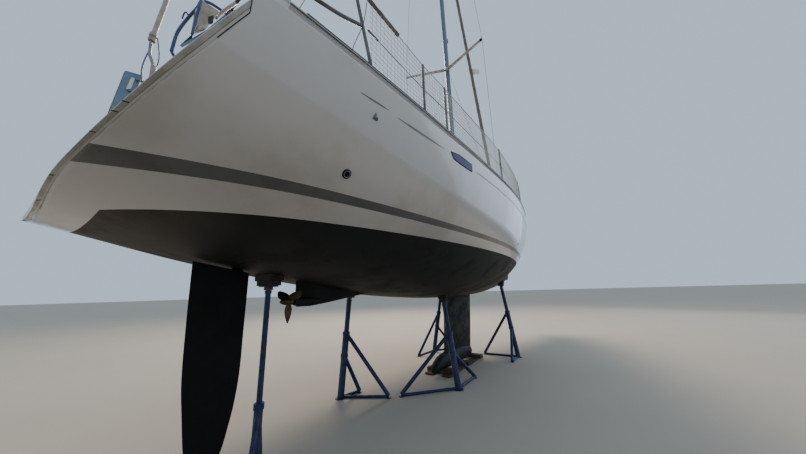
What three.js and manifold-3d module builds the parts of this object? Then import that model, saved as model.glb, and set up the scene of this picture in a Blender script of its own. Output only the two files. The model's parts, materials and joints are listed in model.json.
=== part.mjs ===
// Sailing cruising yacht of about 12.9 m, hauled out on its keel and steadied by yard stands.
// Millimetres. x runs from the foot of the transom to the bow, y to port, z up from the waterline,
// and the last lines lift everything so that the ground is z = 0 and the origin is mid-length.
import * as THREE from 'three';
import { mergeVertices } from 'three/addons/utils/BufferGeometryUtils.js';
import Module from 'manifold-3d';

const wasm = await Module();
wasm.setup();

// Driving dimensions
const GROUND = -2140; // ground below the waterline
const GAP = 0.3; // between pieces that rest on each other
const RUN = 6; // round pieces that move
const DECK_THICK = 30;
const DECK_CAMBER = 0.035; // rise at the centreline for each unit of half beam
// The transom rakes by x for each z, and its middle is curved forward
const TRANSOM = { rake: 0.49, foot: -30, thick: 60, curve: 78, curveHalf: 650 };
const COCKPIT = {
  aft: 700, front: 3960, half: 1280, sole: 550, wall: 40, seat: 950, seatAft: 2350, well: 560,
};
const PLATFORM = { half: 520, z: 320 };
const ROOF_AFT = 3960;
const ROOF_WALL = 35;
const HATCHWAY = { half: 310, length: 600 };
const STOCK = { x: 1390, radius: 45, clearance: 1.5, top: 480 };
const SHAFT = { z: -490, hub: 2000, bore: 16 };
const MAST = { x: 7490, rake: 0.0165, foot: 1700, top: 16600, long: 105, wide: 68, sides: 18 };
const SPREADERS = [
  { name: 'spreaders_lower', z: 6730, half: 1300, sweep: 440 },
  { name: 'spreaders_upper', z: 11650, half: 960, sweep: 330 },
];
const CHAINPLATE = { x: 6900, y: 1350 };
const FORESTAY = { footX: 12560, footZ: 1800, headZ: 16300 };
const BOOM = { z: 2720, length: 5150, half: 62, high: 105 };
const RAIL = { height: 610, mid: 310, inset: 60, tube: 13, wire: 5 };
const WHEEL = { x: 1560, y: 780, z: 1400, radius: 425 };
const PUSHPIT = { foot: 1390, lean: 90, height: 740, mid: 385 };
const TOE_RAIL = { wide: 32, high: 20, inset: 22 };

// Hull stations: x, half beam, sheer height, bottom height, section powers m (depth) and k (breadth)
const STATIONS = [
  [-400, 1575, 1245, 190, 2.6, 2.2],
  [100, 1640, 1240, 100, 2.6, 2.2],
  [1275, 1800, 1230, -125, 2.7, 2.2],
  [3300, 1985, 1230, -425, 2.9, 2.1],
  [4800, 2045, 1255, -535, 2.85, 2.05],
  [6000, 1985, 1290, -560, 2.7, 1.95],
  [7300, 1820, 1340, -550, 2.4, 1.75],
  [8700, 1510, 1400, -490, 2.05, 1.55],
  [10200, 1110, 1465, -360, 1.7, 1.35],
  [11350, 725, 1520, -215, 1.4, 1.2],
  [12150, 410, 1560, -60, 1.25, 1.1],
  [12600, 210, 1585, 130, 1.15, 1.05],
  [12900, 40, 1605, 1300, 1.0, 1.0],
];
// Coachroof: x, half width at the deck, height over the sheer line
const ROOF = [
  [3960, 1300, 470],
  [4700, 1310, 465],
  [5600, 1270, 440],
  [6500, 1180, 405],
  [7400, 1050, 365],
  [8200, 890, 310],
  [8900, 700, 240],
  [9400, 500, 165],
  [9700, 300, 105],
];
// Materials: colour, roughness, metalness
const FINISH = {
  gelcoat: [0xdcdcd8, 0.3, 0],
  antifoul: [0x17181a, 0.8, 0],
  keelPaint: [0x5d5750, 0.75, 0],
  deckGrey: [0xc9c9c4, 0.7, 0],
  teak: [0x9a7b57, 0.8, 0],
  glazing: [0x15181c, 0.08, 0],
  alloy: [0x8d949c, 0.35, 0.9],
  stainless: [0xb9bdc1, 0.2, 1],
  bronze: [0x8a6a3c, 0.4, 0.9],
  black: [0x222325, 0.6, 0],
  canvas: [0x77716a, 0.9, 0],
  standBlue: [0x1f3a6b, 0.55, 0.2],
  timber: [0x8b6d4a, 0.9, 0],
  engineGrey: [0x6f7779, 0.6, 0.4],
};

// Solids and meshes
function solid(geometry) {
  const bare = geometry.clone();
  bare.deleteAttribute('normal');
  bare.deleteAttribute('uv');
  const merged = mergeVertices(bare, 1e-3);
  const mesh = new wasm.Mesh({
    numProp: 3,
    vertProperties: new Float32Array(merged.attributes.position.array),
    triVerts: new Uint32Array(merged.index.array),
  });
  return new wasm.Manifold(mesh);
}

function geometryOf(manifold) {
  const mesh = manifold.getMesh();
  const geometry = new THREE.BufferGeometry();
  geometry.setAttribute('position', new THREE.BufferAttribute(new Float32Array(mesh.vertProperties), 3));
  geometry.setIndex(new THREE.BufferAttribute(new Uint32Array(mesh.triVerts), 1));
  geometry.computeVertexNormals();
  return geometry;
}

const join = (...pieces) => pieces.reduce((sum, piece) => sum.add(piece));

function box(x0, x1, y0, y1, z0, z1) {
  const geometry = new THREE.BoxGeometry(x1 - x0, y1 - y0, z1 - z0);
  return solid(geometry.translate((x0 + x1) / 2, (y0 + y1) / 2, (z0 + z1) / 2));
}

// Round bar between two points
function rod(from, to, radius, sides = 8, endRadius = radius) {
  const start = new THREE.Vector3(...from);
  const along = new THREE.Vector3(...to).sub(start);
  const geometry = new THREE.CylinderGeometry(endRadius, radius, along.length(), sides);
  geometry.translate(0, along.length() / 2, 0);
  const up = new THREE.Vector3(0, 1, 0);
  geometry.applyQuaternion(new THREE.Quaternion().setFromUnitVectors(up, along.normalize()));
  return solid(geometry.translate(start.x, start.y, start.z));
}

// Bars along a row of points, which overlap at the corners
function bars(points, radius, sides = 8) {
  const pieces = [];
  for (let i = 1; i < points.length; i += 1) pieces.push(rod(points[i - 1], points[i], radius, sides));
  return join(...pieces);
}

// Smooth bent tube
function bentTube(points, radius, steps, sides = 8) {
  const outline = new THREE.Shape();
  for (let i = 0; i < sides; i += 1) {
    const turn = (i / sides) * Math.PI * 2;
    const [x, y] = [radius * Math.cos(turn), radius * Math.sin(turn)];
    if (i === 0) outline.moveTo(x, y);
    else outline.lineTo(x, y);
  }
  const path = new THREE.CatmullRomCurve3(points.map((p) => new THREE.Vector3(...p)), false, 'centripetal');
  return solid(new THREE.ExtrudeGeometry(outline, { steps, extrudePath: path, bevelEnabled: false }));
}

const shapeOf = (points) => new THREE.Shape(points.map(([a, b]) => new THREE.Vector2(a, b)));

// Side view outline (x, z) carried from y0 to y1
function sideSlab(points, y0, y1) {
  const geometry = new THREE.ExtrudeGeometry(shapeOf(points), { depth: y1 - y0, bevelEnabled: false });
  return solid(geometry.rotateX(Math.PI / 2).translate(0, y1, 0));
}

// Plan outline (x, y) carried from z0 to z1
function planSlab(points, z0, z1) {
  const geometry = new THREE.ExtrudeGeometry(shapeOf(points), { depth: z1 - z0, bevelEnabled: false });
  return solid(geometry.translate(0, 0, z0));
}

// Closed body through rings of like points, with flat ends
function loft(rings) {
  const count = rings[0].length;
  const points = rings.flat();
  const faces = [];
  for (let r = 1; r < rings.length; r += 1) {
    for (let i = 0; i < count; i += 1) {
      const next = (i + 1) % count;
      const [a, b] = [(r - 1) * count + i, (r - 1) * count + next];
      faces.push([a, b, b + count], [a, b + count, a + count]);
    }
  }
  for (const [ring, reverse] of [[0, true], [rings.length - 1, false]]) {
    const middle = [0, 1, 2].map((axis) => rings[ring].reduce((sum, p) => sum + p[axis], 0) / count);
    points.push(middle);
    for (let i = 0; i < count; i += 1) {
      const [a, b] = [ring * count + i, ring * count + ((i + 1) % count)];
      faces.push(reverse ? [points.length - 1, b, a] : [points.length - 1, a, b]);
    }
  }
  let volume = 0;
  for (const face of faces) {
    const [a, b, c] = face.map((i) => new THREE.Vector3(...points[i]));
    volume += a.dot(b.cross(c));
  }
  const geometry = new THREE.BufferGeometry();
  geometry.setAttribute('position', new THREE.Float32BufferAttribute(points.flat(), 3));
  geometry.setIndex(faces.flatMap((f) => (volume > 0 ? f : [f[0], f[2], f[1]])));
  return solid(geometry);
}

// Smooth reading of a table's column at x: cubic between rows, slopes from the neighbours
function read(table, x, column) {
  let i = 0;
  while (i < table.length - 2 && x > table[i + 1][0]) i += 1;
  const slope = (j) => {
    const [before, after] = [Math.max(j - 1, 0), Math.min(j + 1, table.length - 1)];
    return (table[after][column] - table[before][column]) / (table[after][0] - table[before][0]);
  };
  const span = table[i + 1][0] - table[i][0];
  const t = (x - table[i][0]) / span;
  const [p, q] = [table[i][column], table[i + 1][column]];
  const [m, n] = [slope(i) * span, slope(i + 1) * span];
  return p + t * m + t * t * (3 * (q - p) - 2 * m - n) + t * t * t * (m + n - 2 * (q - p));
}
const halfBeam = (x) => read(STATIONS, x, 1);
const sheer = (x) => read(STATIONS, x, 2);
const bottom = (x) => read(STATIONS, x, 3);
const deckTop = (x, y) => sheer(x) + DECK_CAMBER * halfBeam(x) * (1 - (y / halfBeam(x)) ** 2);

// Half breadth of the hull at x and height z
function hullHalf(x, z) {
  const u = Math.min(Math.max((sheer(x) - z) / (sheer(x) - bottom(x)), 0), 1);
  return halfBeam(x) * (1 - u ** read(STATIONS, x, 4)) ** (1 / read(STATIONS, x, 5));
}

const root = new THREE.Group();
const boat = new THREE.Group();
root.add(boat);
const materials = Object.fromEntries(Object.entries(FINISH).map(([name, [color, roughness, metalness]]) => [
  name, { color, roughness, metalness },
]));
function put(name, manifold, finish) {
  const mesh = new THREE.Mesh(geometryOf(manifold), new THREE.MeshStandardMaterial(materials[finish]));
  mesh.name = name;
  boat.add(mesh);
}

// Hull, deck and transom
const STATION_X = [
  -400, 100, 700, 1275, 2000, 2650, 3300, 4050, 4800, 5400, 6000, 6650, 7300, 8000, 8700, 9450,
  10200, 10800, 11350, 11800, 12150, 12400, 12600, 12720, 12820, 12900,
];
const GIRTH = 14;
function hullRing(x) {
  const half = [];
  for (let j = 0; j <= GIRTH; j += 1) {
    const turn = (j / GIRTH) * (Math.PI / 2);
    const down = Math.sin(turn) ** (2 / read(STATIONS, x, 4));
    const z = Math.min(sheer(x) - (sheer(x) - bottom(x)) * down, sheer(x) - DECK_THICK);
    half.push([x, j === GIRTH ? 0 : hullHalf(x, z), z]);
  }
  return [...half, ...half.slice(0, -1).reverse().map(([px, y, z]) => [px, -y, z])];
}
function deckRing(x, thick) {
  const half = halfBeam(x) - 1;
  const across = [1, 0.75, 0.4, 0, -0.4, -0.75, -1];
  const under = sheer(x) - thick + GAP;
  return [[x, -half, under], [x, half, under], ...across.map((s) => [x, s * half, deckTop(x, s * half)])];
}
const bareHull = loft(STATION_X.map(hullRing));
const bareDeck = loft(STATION_X.map((x) => deckRing(x, DECK_THICK)));
const underDeck = loft(STATION_X.map((x) => deckRing(x, 500))).translate([0, 0, GAP]);
// Everything aft of a face parallel to the transom
const aftOf = (offset) => {
  const across = [-3000, ...Array.from({ length: 11 }, (_, i) => (i / 5 - 1) * TRANSOM.curveHalf), 3000];
  const forward = (y) => TRANSOM.curve * Math.max(0, 1 - (y / TRANSOM.curveHalf) ** 2);
  return loft([-1000, 2400].map((z) => [
    [-4000, -3000, z], ...across.map((y) => [z * TRANSOM.rake + TRANSOM.foot + offset + forward(y), y, z]),
    [-4000, 3000, z],
  ]));
};
const centre = (from, to, half, low, high) => box(from, to, -half, half, low, high);
const cockpitHole = centre(COCKPIT.aft - 40, COCKPIT.front - 20, COCKPIT.half + 10, COCKPIT.sole - 60, 2500);
const sternGap = centre(-500, COCKPIT.aft + 60, PLATFORM.half, PLATFORM.z, 2500);
const saloon = join(
  planSlab([[4150, -1330], [6600, -1180], [8600, -760], [8600, 760], [6600, 1180], [4150, 1330]], 330, 2500),
  planSlab([[4150, -760], [7300, -700], [8100, -420], [8100, 420], [7300, 700], [4150, 760]], -280, 400),
  centre(3100, 4200, 520, -180, 380),
);
const stockHole = rod([STOCK.x, 0, -600], [STOCK.x, 0, 700], STOCK.radius + STOCK.clearance, 24);
const hull = bareHull.subtract(aftOf(TRANSOM.thick + GAP)).subtract(cockpitHole).subtract(sternGap)
  .subtract(saloon).subtract(stockHole);
put('hull', hull, 'gelcoat');

// The ladder's hinge stands proud of the transom, between two lugs
const LADDER = { hinge: 135, front: 630, half: 180, z: PLATFORM.z + 13 + RUN };
const ladderLugs = [-1, 1].map((side) => (
  box(LADDER.hinge - 22, 240, side * 212 - 9, side * 212 + 9, 235, LADDER.z + 18)
    .subtract(hull.translate([0, 0, GAP]))));
const transom = bareHull.subtract(aftOf(0)).intersect(aftOf(TRANSOM.thick)).subtract(sternGap);
put('transom_moulding', join(transom, ...ladderLugs), 'gelcoat');

const roofHole = planSlab([
  [ROOF_AFT + 190, -1180], [6500, -1090], [8200, -790], [8900, -600], [9100, -420],
  [9100, 420], [8900, 600], [8200, 790], [6500, 1090], [ROOF_AFT + 190, 1180],
], 900, 2000);
const deck = bareDeck.subtract(aftOf(0)).subtract(cockpitHole).subtract(sternGap).subtract(roofHole);
put('deck', deck, 'deckGrey');
const underHull = bareHull.translate([0, 0, -GAP]);

// Toe rail, from one quarter round the bow to the other
const railX = [800, ...STATION_X.filter((x) => x > 1000 && x < 12810)];
const edge = (x, side, inset) => [x, side * (halfBeam(x) - inset), 0];
const railPath = [
  ...railX.map((x) => edge(x, 1, TOE_RAIL.inset)),
  [12872, 0, 0],
  ...railX.slice().reverse().map((x) => edge(x, -1, TOE_RAIL.inset)),
];
const toeRings = railPath.map(([x, y], i) => {
  const before = railPath[Math.max(i - 1, 0)];
  const after = railPath[Math.min(i + 1, railPath.length - 1)];
  const along = new THREE.Vector2(after[0] - before[0], after[1] - before[1]).normalize();
  const out = [along.y * TOE_RAIL.wide / 2, -along.x * TOE_RAIL.wide / 2];
  const low = sheer(x) - 5;
  const high = sheer(x) + TOE_RAIL.high;
  return [[x - out[0], y - out[1], low], [x + out[0], y + out[1], low], [x + out[0], y + out[1], high],
    [x - out[0], y - out[1], high]];
});
put('toe_rail', loft(toeRings).subtract(underDeck), 'alloy');

// Coachroof: a hollow shell with long side windows, a companionway and two roof hatches
function roofRing(x, inset) {
  const half = read(ROOF, x, 1) - inset;
  const rise = read(ROOF, x, 2);
  const top = sheer(x) + rise - inset;
  const base = sheer(x) - 60;
  const flat = half - Math.min(190, half * 0.5);
  const profile = [[half, base], [half - 30, top - rise * 0.5], [half - 75, top - rise * 0.14],
    [half - 115, top - rise * 0.04], [flat, top], [flat * 0.75, top + 18], [flat * 0.45, top + 33]];
  const right = profile.map(([y, z]) => [x, y, z]);
  const left = profile.slice().reverse().map(([y, z]) => [x, -y, z]);
  return [...right, [x, 0, top + 42], ...left];
}
const roofTop = (x) => sheer(x) + read(ROOF, x, 2) + 42;
const roofX = [
  3960, 4300, 4700, 5150, 5600, 6050, 6500, 6950, 7400, 7800, 8200, 8550, 8900, 9150, 9400, 9550, 9700,
];
const roofOuter = loft(roofX.map((x) => roofRing(x, 0)));
const innerX = [ROOF_AFT + ROOF_WALL, ...roofX.filter((x) => x > 4000 && x < 9000), 9200];
const roofInner = loft(innerX.map((x) => roofRing(x, ROOF_WALL)));
const hatchRails = [-1, 1].map((side) => (
  box(ROOF_AFT + 10, 5350, side * 400 - 16, side * 400 + 16, 1600, 1760)));
const ROOF_HATCHES = [
  { name: 'hatch_saloon', x: 5750, long: 520, half: 260 },
  { name: 'hatch_forward', x: 8150, long: 520, half: 260 },
];
const hatchHoles = ROOF_HATCHES.map((h) => centre(h.x + 45, h.x + h.long - 45, h.half - 45, 1500, 2200));
const windowPoints = (grow) => [
  [4700 - grow, 1405], [4760, 1335 - grow], [7000, 1395 - grow], [8050 + grow, 1490], [7700, 1545 + grow],
  [6600, 1575 + grow], [4900, 1575 + grow], [4730, 1530 + grow],
];
const windowHole = (side, grow) => {
  const [y0, y1] = side > 0 ? [600, 1600] : [-1600, -600];
  return sideSlab(windowPoints(grow), y0, y1);
};
const hatchway = join(
  centre(ROOF_AFT + 5, ROOF_AFT + HATCHWAY.length, HATCHWAY.half, 1600, 2200),
  centre(ROOF_AFT - 50, ROOF_AFT + 100, HATCHWAY.half, 1180, 2200),
);
const roofShell = roofOuter.subtract(roofInner).subtract(underDeck);
const coachroof = join(roofShell, ...hatchRails).subtract(roofInner)
  .subtract(hatchway).subtract(join(...hatchHoles))
  .subtract(windowHole(1, 0)).subtract(windowHole(-1, 0));
put('coachroof', coachroof, 'gelcoat');
for (const [side, name] of [[1, 'port'], [-1, 'starboard']]) {
  put(`coachroof_window_${name}`, roofShell.intersect(windowHole(side, -1)), 'glazing');
}
const underRoof = roofOuter.translate([0, 0, GAP]);

const hatchZ = Math.max(...[ROOF_AFT, 4700, 5300].map(roofTop)) + RUN;
put('companionway_hatch', centre(ROOF_AFT + 2, ROOF_AFT + 720, 376, hatchZ, hatchZ + 26), 'glazing');
put('companionway_board', centre(ROOF_AFT - 22, ROOF_AFT - 4, 340, 1330, hatchZ - RUN), 'glazing');
for (const hatch of ROOF_HATCHES) {
  const [aft, front] = [hatch.x, hatch.x + hatch.long];
  const tilt = Math.atan2(roofTop(front) - roofTop(aft), hatch.long);
  const lid = new THREE.BoxGeometry(hatch.long, hatch.half * 2, 28).rotateY(-tilt);
  const middle = (roofTop(aft) + roofTop(front)) / 2 + 28 / 2 + RUN;
  put(hatch.name, solid(lid.translate((aft + front) / 2, 0, middle)), 'glazing');
}

// Cockpit: a moulded tub with side seats, a well between them and helm seats aft
const seatTop = COCKPIT.seat;
const tubOuter = centre(COCKPIT.aft - 30, COCKPIT.front - 30, COCKPIT.half, COCKPIT.sole - 50, 1330);
const tubInner = join(
  centre(COCKPIT.aft + 400, COCKPIT.seatAft, COCKPIT.half - COCKPIT.wall, COCKPIT.sole, 2500),
  centre(COCKPIT.aft + 400, COCKPIT.front - 80, COCKPIT.well, COCKPIT.sole, 2500),
  centre(COCKPIT.aft - 100, COCKPIT.front - 80, COCKPIT.half - COCKPIT.wall, seatTop, 2500),
  centre(COCKPIT.aft - 100, COCKPIT.aft + 500, PLATFORM.half - 20, COCKPIT.sole, 2500),
);
const tubStockHole = rod([STOCK.x, 0, 300], [STOCK.x, 0, 900], 60, 12);
const tub = tubOuter.subtract(tubInner).subtract(aftOf(TRANSOM.thick + 10)).subtract(tubStockHole);
const BENCH = {
  aft: COCKPIT.aft + 60, front: COCKPIT.aft + 390, half: PLATFORM.half - 30, low: 905, high: 945,
};
const ledges = [-1, 1].map((side) => {
  const middle = side * (PLATFORM.half - 50);
  return box(BENCH.aft, BENCH.front, middle - 32, middle + 32, BENCH.low - 46, BENCH.low - RUN);
});
put('cockpit_tub', join(tub.subtract(sternGap.translate([-60, 0, 0])), ...ledges), 'gelcoat');

// Stern bench across the walkway, hinged at its port end
put('stern_bench', centre(BENCH.aft, BENCH.front, BENCH.half, BENCH.low, BENCH.high), 'teak');

// Coamings: x, height over the sheer line, breadth outboard of the cockpit
const COAMING = [
  [900, 60, 150], [1300, 130, 200], [1850, 165, 218], [2400, 190, 225], [2850, 205, 222], [3300, 215, 215],
  [3930, 225, 140],
];
for (const [side, name] of [[1, 'port'], [-1, 'starboard']]) {
  const rings = COAMING.map(([x, rise, wide]) => {
    const high = sheer(x) + rise;
    const [inner, outer] = [side * (COCKPIT.half + 12), side * (COCKPIT.half + wide)];
    return [[x, inner, 1150], [x, inner, high], [x, (inner + outer) / 2 + side * 30, high], [x, outer, 1150]];
  });
  const coaming = loft(rings).subtract(underDeck).subtract(cockpitHole).subtract(aftOf(200))
    .subtract(roofOuter.translate([-GAP, 0, 0]));
  put(`coaming_${name}`, coaming, 'gelcoat');
}

// Wheels on their pedestals; each level of a pedestal: height over the sole, half length, half breadth
const PEDESTAL = [
  [0, 170, 150], [120, 155, 135], [300, 140, 120], [700, 120, 110], [860, 150, 140], [940, 140, 130],
];
for (const [side, name] of [[1, 'port'], [-1, 'starboard']]) {
  const y = side * WHEEL.y;
  const x = WHEEL.x + 260;
  const column = loft(PEDESTAL.map(([up, long, half]) => {
    const z = COCKPIT.sole + GAP + up;
    const [l, h] = [long - 45, half - 45];
    return [[x - l, y - half, z], [x + l, y - half, z], [x + long, y - h, z], [x + long, y + h, z],
      [x + l, y + half, z], [x - l, y + half, z], [x - long, y + h, z], [x - long, y - h, z]];
  }));
  const axleHole = rod([WHEEL.x, y, WHEEL.z], [WHEEL.x + 190, y, WHEEL.z], 22, 12);
  put(`pedestal_${name}`, column.subtract(axleHole), 'gelcoat');
  const rim = new THREE.TorusGeometry(WHEEL.radius, 15, 6, 36).rotateY(Math.PI / 2);
  const spokes = [0, 1, 2, 3, 4].map((i) => {
    const turn = (i / 5) * Math.PI * 2 + Math.PI / 2;
    const reach = WHEEL.radius - 5;
    const tip = [WHEEL.x, y + reach * Math.cos(turn), WHEEL.z + reach * Math.sin(turn)];
    return rod([WHEEL.x, y, WHEEL.z], tip, 9, 6);
  });
  const axle = rod([WHEEL.x - 25, y, WHEEL.z], [WHEEL.x + 170, y, WHEEL.z], 18, 12);
  const hub = rod([WHEEL.x - 30, y, WHEEL.z], [WHEEL.x + 30, y, WHEEL.z], 45, 12);
  put(`wheel_${name}`, join(solid(rim.translate(WHEEL.x, y, WHEEL.z)), ...spokes, axle, hub), 'stainless');
}

// Cockpit table with two drop leaves
const TABLE = { aft: 2500, front: 3560, half: 60, top: 1180, leaf: 330 };
put('cockpit_table', join(
  centre(TABLE.aft, TABLE.front, TABLE.half, TABLE.top - 120, TABLE.top),
  centre(TABLE.aft + 200, TABLE.front - 200, TABLE.half - 15, COCKPIT.sole + GAP, TABLE.top - 100),
), 'teak');
for (const [side, name] of [[1, 'port'], [-1, 'starboard']]) {
  const [y0, y1] = side > 0 ? [TABLE.half + 6, TABLE.half + 28] : [-TABLE.half - 28, -TABLE.half - 6];
  put(`table_leaf_${name}`, box(TABLE.aft, TABLE.front, y0, y1, TABLE.top - TABLE.leaf, TABLE.top), 'teak');
}

// Engine block below the companionway
put('engine', centre(3180, 3950, 260, -170, 330), 'engineGrey');

// Swimming ladder, stowed flat on the stern platform
const ladderRails = [-1, 1].map((side) => rod(
  [LADDER.hinge, side * LADDER.half, LADDER.z], [LADDER.front, side * LADDER.half, LADDER.z], 13,
));
const ladderRungs = [0, 0.35, 0.67, 1].map((part) => {
  const x = LADDER.hinge + part * (LADDER.front - LADDER.hinge);
  const reach = part === 0 ? LADDER.half + 22 : LADDER.half;
  return rod([x, -reach, LADDER.z], [x, reach, LADDER.z], 13);
});
put('swim_ladder', join(...ladderRails, ...ladderRungs), 'stainless');

// Fins under the hull: height, leading edge, chord and thickness at each level
function foil(levels) {
  const outline = [
    [0, 0], [0.015, 0.32], [0.05, 0.58], [0.1, 0.78], [0.18, 0.93], [0.3, 1], [0.45, 0.9], [0.6, 0.72],
    [0.75, 0.48], [0.88, 0.25], [1, 0.05],
  ];
  const rings = levels.map(([z, lead, chord, thick]) => {
    const side = outline.map(([along, part]) => [lead - along * chord, (part * thick) / 2, z]);
    return [...side, ...side.slice(1).reverse().map(([x, y, pz]) => [x, -y, pz])];
  });
  return loft(rings);
}
// Keel bulb: x, half width, height over the blocking it stands on
const BED = -2030; // top of the blocking
const BULB = [
  [5400, 30, 55], [5440, 66, 105], [5520, 92, 155], [5620, 108, 205], [5750, 120, 255], [5950, 130, 285],
  [6400, 140, 300], [6900, 138, 290], [7250, 118, 255], [7440, 88, 205], [7550, 50, 135], [7600, 18, 60],
];
const BULB_SIDES = 16;
const bulb = loft(BULB.map(([x, half, high]) => {
  const ring = [];
  for (let i = 0; i < BULB_SIDES; i += 1) {
    const turn = (i / BULB_SIDES) * Math.PI * 2;
    const up = (Math.max(Math.sin(turn), -0.75) + 0.75) / 1.75;
    ring.push([x, half * Math.cos(turn), BED + GAP + high * up]);
  }
  return ring;
}));
put('keel_bulb', bulb, 'antifoul');
const fin = foil([[-400, 7790, 1690, 190], [-1100, 7690, 1640, 170], [-2000, 7530, 1590, 150]])
  .subtract(underHull).subtract(bulb.translate([0, 0, GAP])).subtract(centre(5000, 8400, 400, -2300, -1900));
put('keel_fin', fin, 'keelPaint');

const blade = foil([
  [-100, 1515, 510, 95], [-700, 1515, 490, 90], [-1120, 1515, 465, 80], [-1400, 1490, 400, 66],
  [-1560, 1460, 345, 56], [-1690, 1420, 275, 44], [-1780, 1370, 190, 30],
]);
const bladeRoof = bareHull.translate([0, 0, -22]);
const stock = rod([STOCK.x, 0, -400], [STOCK.x, 0, STOCK.top], STOCK.radius, 24);
put('rudder', join(blade.subtract(bladeRoof), stock), 'antifoul');

const skeg = foil([
  [-300, 3150, 1070, 110], [-440, 3040, 960, 100], [-540, 2620, 540, 90], [-555, 2400, 320, 80],
]);
const boss = rod([2060, 0, SHAFT.z], [2420, 0, SHAFT.z], 48, 12);
const shaftHole = rod([1900, 0, SHAFT.z], [2260, 0, SHAFT.z], SHAFT.bore + 2, 12);
put('skeg', join(skeg, boss).subtract(shaftHole).subtract(underHull), 'antifoul');

const blades = [0, 1, 2].map((i) => {
  const rings = [[30, 55, 14], [110, 108, 10], [195, 105, 7], [238, 44, 4]].map(([out, wide, thick], j) => {
    const pitch = 0.95 - j * 0.16;
    const [c, s] = [Math.cos(pitch), Math.sin(pitch)];
    return [[-1, -1], [1, -1], [1, 1], [-1, 1]].map(([a, b]) => {
      const [across, deep] = [a * wide / 2, b * thick / 2];
      return [across * s + deep * c, across * c - deep * s, out];
    });
  });
  return loft(rings).rotate([180 + i * 120, 0, 0]).translate([SHAFT.hub, 0, SHAFT.z]);
});
const hubSolid = rod([SHAFT.hub - 50, 0, SHAFT.z], [SHAFT.hub + 48, 0, SHAFT.z], 38, 12);
const coneSolid = rod([SHAFT.hub - 49, 0, SHAFT.z], [SHAFT.hub - 110, 0, SHAFT.z], 36, 12, 12);
const shaftSolid = rod([SHAFT.hub, 0, SHAFT.z], [2240, 0, SHAFT.z], SHAFT.bore, 12);
put('propeller', join(...blades, hubSolid, coneSolid, shaftSolid), 'bronze');

// Mast, spreaders, boom and stays
const mastX = (z) => MAST.x - MAST.rake * (z - MAST.foot);
function mastRing(z, long, wide) {
  const ring = [];
  for (let i = 0; i < MAST.sides; i += 1) {
    const turn = (i / MAST.sides) * Math.PI * 2;
    ring.push([mastX(z) + long * Math.cos(turn), wide * Math.sin(turn), z]);
  }
  return ring;
}
const mastFoot = roofTop(MAST.x) - 60;
const mastBody = loft([[mastFoot, 1, 1], [13500, 1, 1], [MAST.top, 0.8, 0.85]].map(([z, a, b]) => (
  mastRing(z, MAST.long * a, MAST.wide * b))));
const crane = join(
  box(mastX(MAST.top) - 330, mastX(MAST.top) + 190, -35, 35, MAST.top - 60, MAST.top + 15),
  rod([mastX(MAST.top) - 60, 0, MAST.top], [mastX(MAST.top) - 60, 0, MAST.top + 420], 6, 6),
  rod([mastX(MAST.top) + 60, 0, MAST.top], [mastX(MAST.top) + 60, 0, MAST.top + 110], 40, 8),
);
put('mast', join(mastBody, crane).subtract(underRoof), 'alloy');
for (const { name, z, half, sweep } of SPREADERS) {
  const collar = box(mastX(z) - 130, mastX(z) + 130, -92, 92, z - 45, z + 45)
    .subtract(loft([z - 90, z + 90].map((level) => mastRing(level, MAST.long + GAP, MAST.wide + GAP))));
  const arms = [-1, 1].map((side) => (
    rod([mastX(z) - 60, side * 84, z], [mastX(z) - sweep, side * half, z + 70], 34, 10, 20)));
  put(name, join(collar, ...arms), 'alloy');
}
const mastAft = (z) => mastX(z) - MAST.long;
const gooseneck = [mastAft(BOOM.z) - 60, 0, BOOM.z];
const boomEnd = gooseneck[0] - BOOM.length;
const boomBody = loft([[gooseneck[0] - 40, 0.7], [gooseneck[0] - 300, 1], [boomEnd + 300, 1], [boomEnd, 0.75]]
  .map(([x, part]) => {
    const ring = [];
    for (let i = 0; i < 14; i += 1) {
      const turn = (i / 14) * Math.PI * 2;
      ring.push([x, BOOM.half * part * Math.cos(turn), BOOM.z + BOOM.high * part * Math.sin(turn)]);
    }
    return ring;
  }));
const VANG_Z = 2040;
const vangFoot = [gooseneck[0], 0, VANG_Z];
put('boom', join(
  boomBody,
  rod([gooseneck[0] - 60, 0, BOOM.z], [gooseneck[0], 0, BOOM.z], 30),
  rod([gooseneck[0], 0, BOOM.z - 60], [gooseneck[0], 0, BOOM.z + 60], 24),
  rod(vangFoot, [gooseneck[0] - 1250, 0, BOOM.z - 60], 26, 8),
  rod([gooseneck[0], 0, VANG_Z - 40], [gooseneck[0], 0, VANG_Z + 40], 24),
), 'alloy');
// Hinge brackets on the mast's aft face, a fork above and below each boom pin
const forks = [[BOOM.z, 60], [VANG_Z, 40]].flatMap(([z, reach]) => [-1, 1].map((side) => box(
  gooseneck[0] - 26, mastAft(z) + 12, -28, 28, z + side * (reach + 16) - 10, z + side * (reach + 16) + 10,
)));
const mastTrim = loft([mastFoot, 3200].map((z) => mastRing(z, MAST.long + GAP, MAST.wide + GAP)));
put('gooseneck_bracket', join(
  ...forks, box(mastAft(2400) - 20, mastAft(2400) + 14, -30, 30, VANG_Z - 80, BOOM.z + 100),
).subtract(mastTrim), 'alloy');

const footPoint = [FORESTAY.footX, 0, FORESTAY.footZ];
const headPoint = [mastX(FORESTAY.headZ) + 120, 0, FORESTAY.headZ];
const onStay = (part) => footPoint.map((v, i) => v + (headPoint[i] - v) * part);
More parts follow.
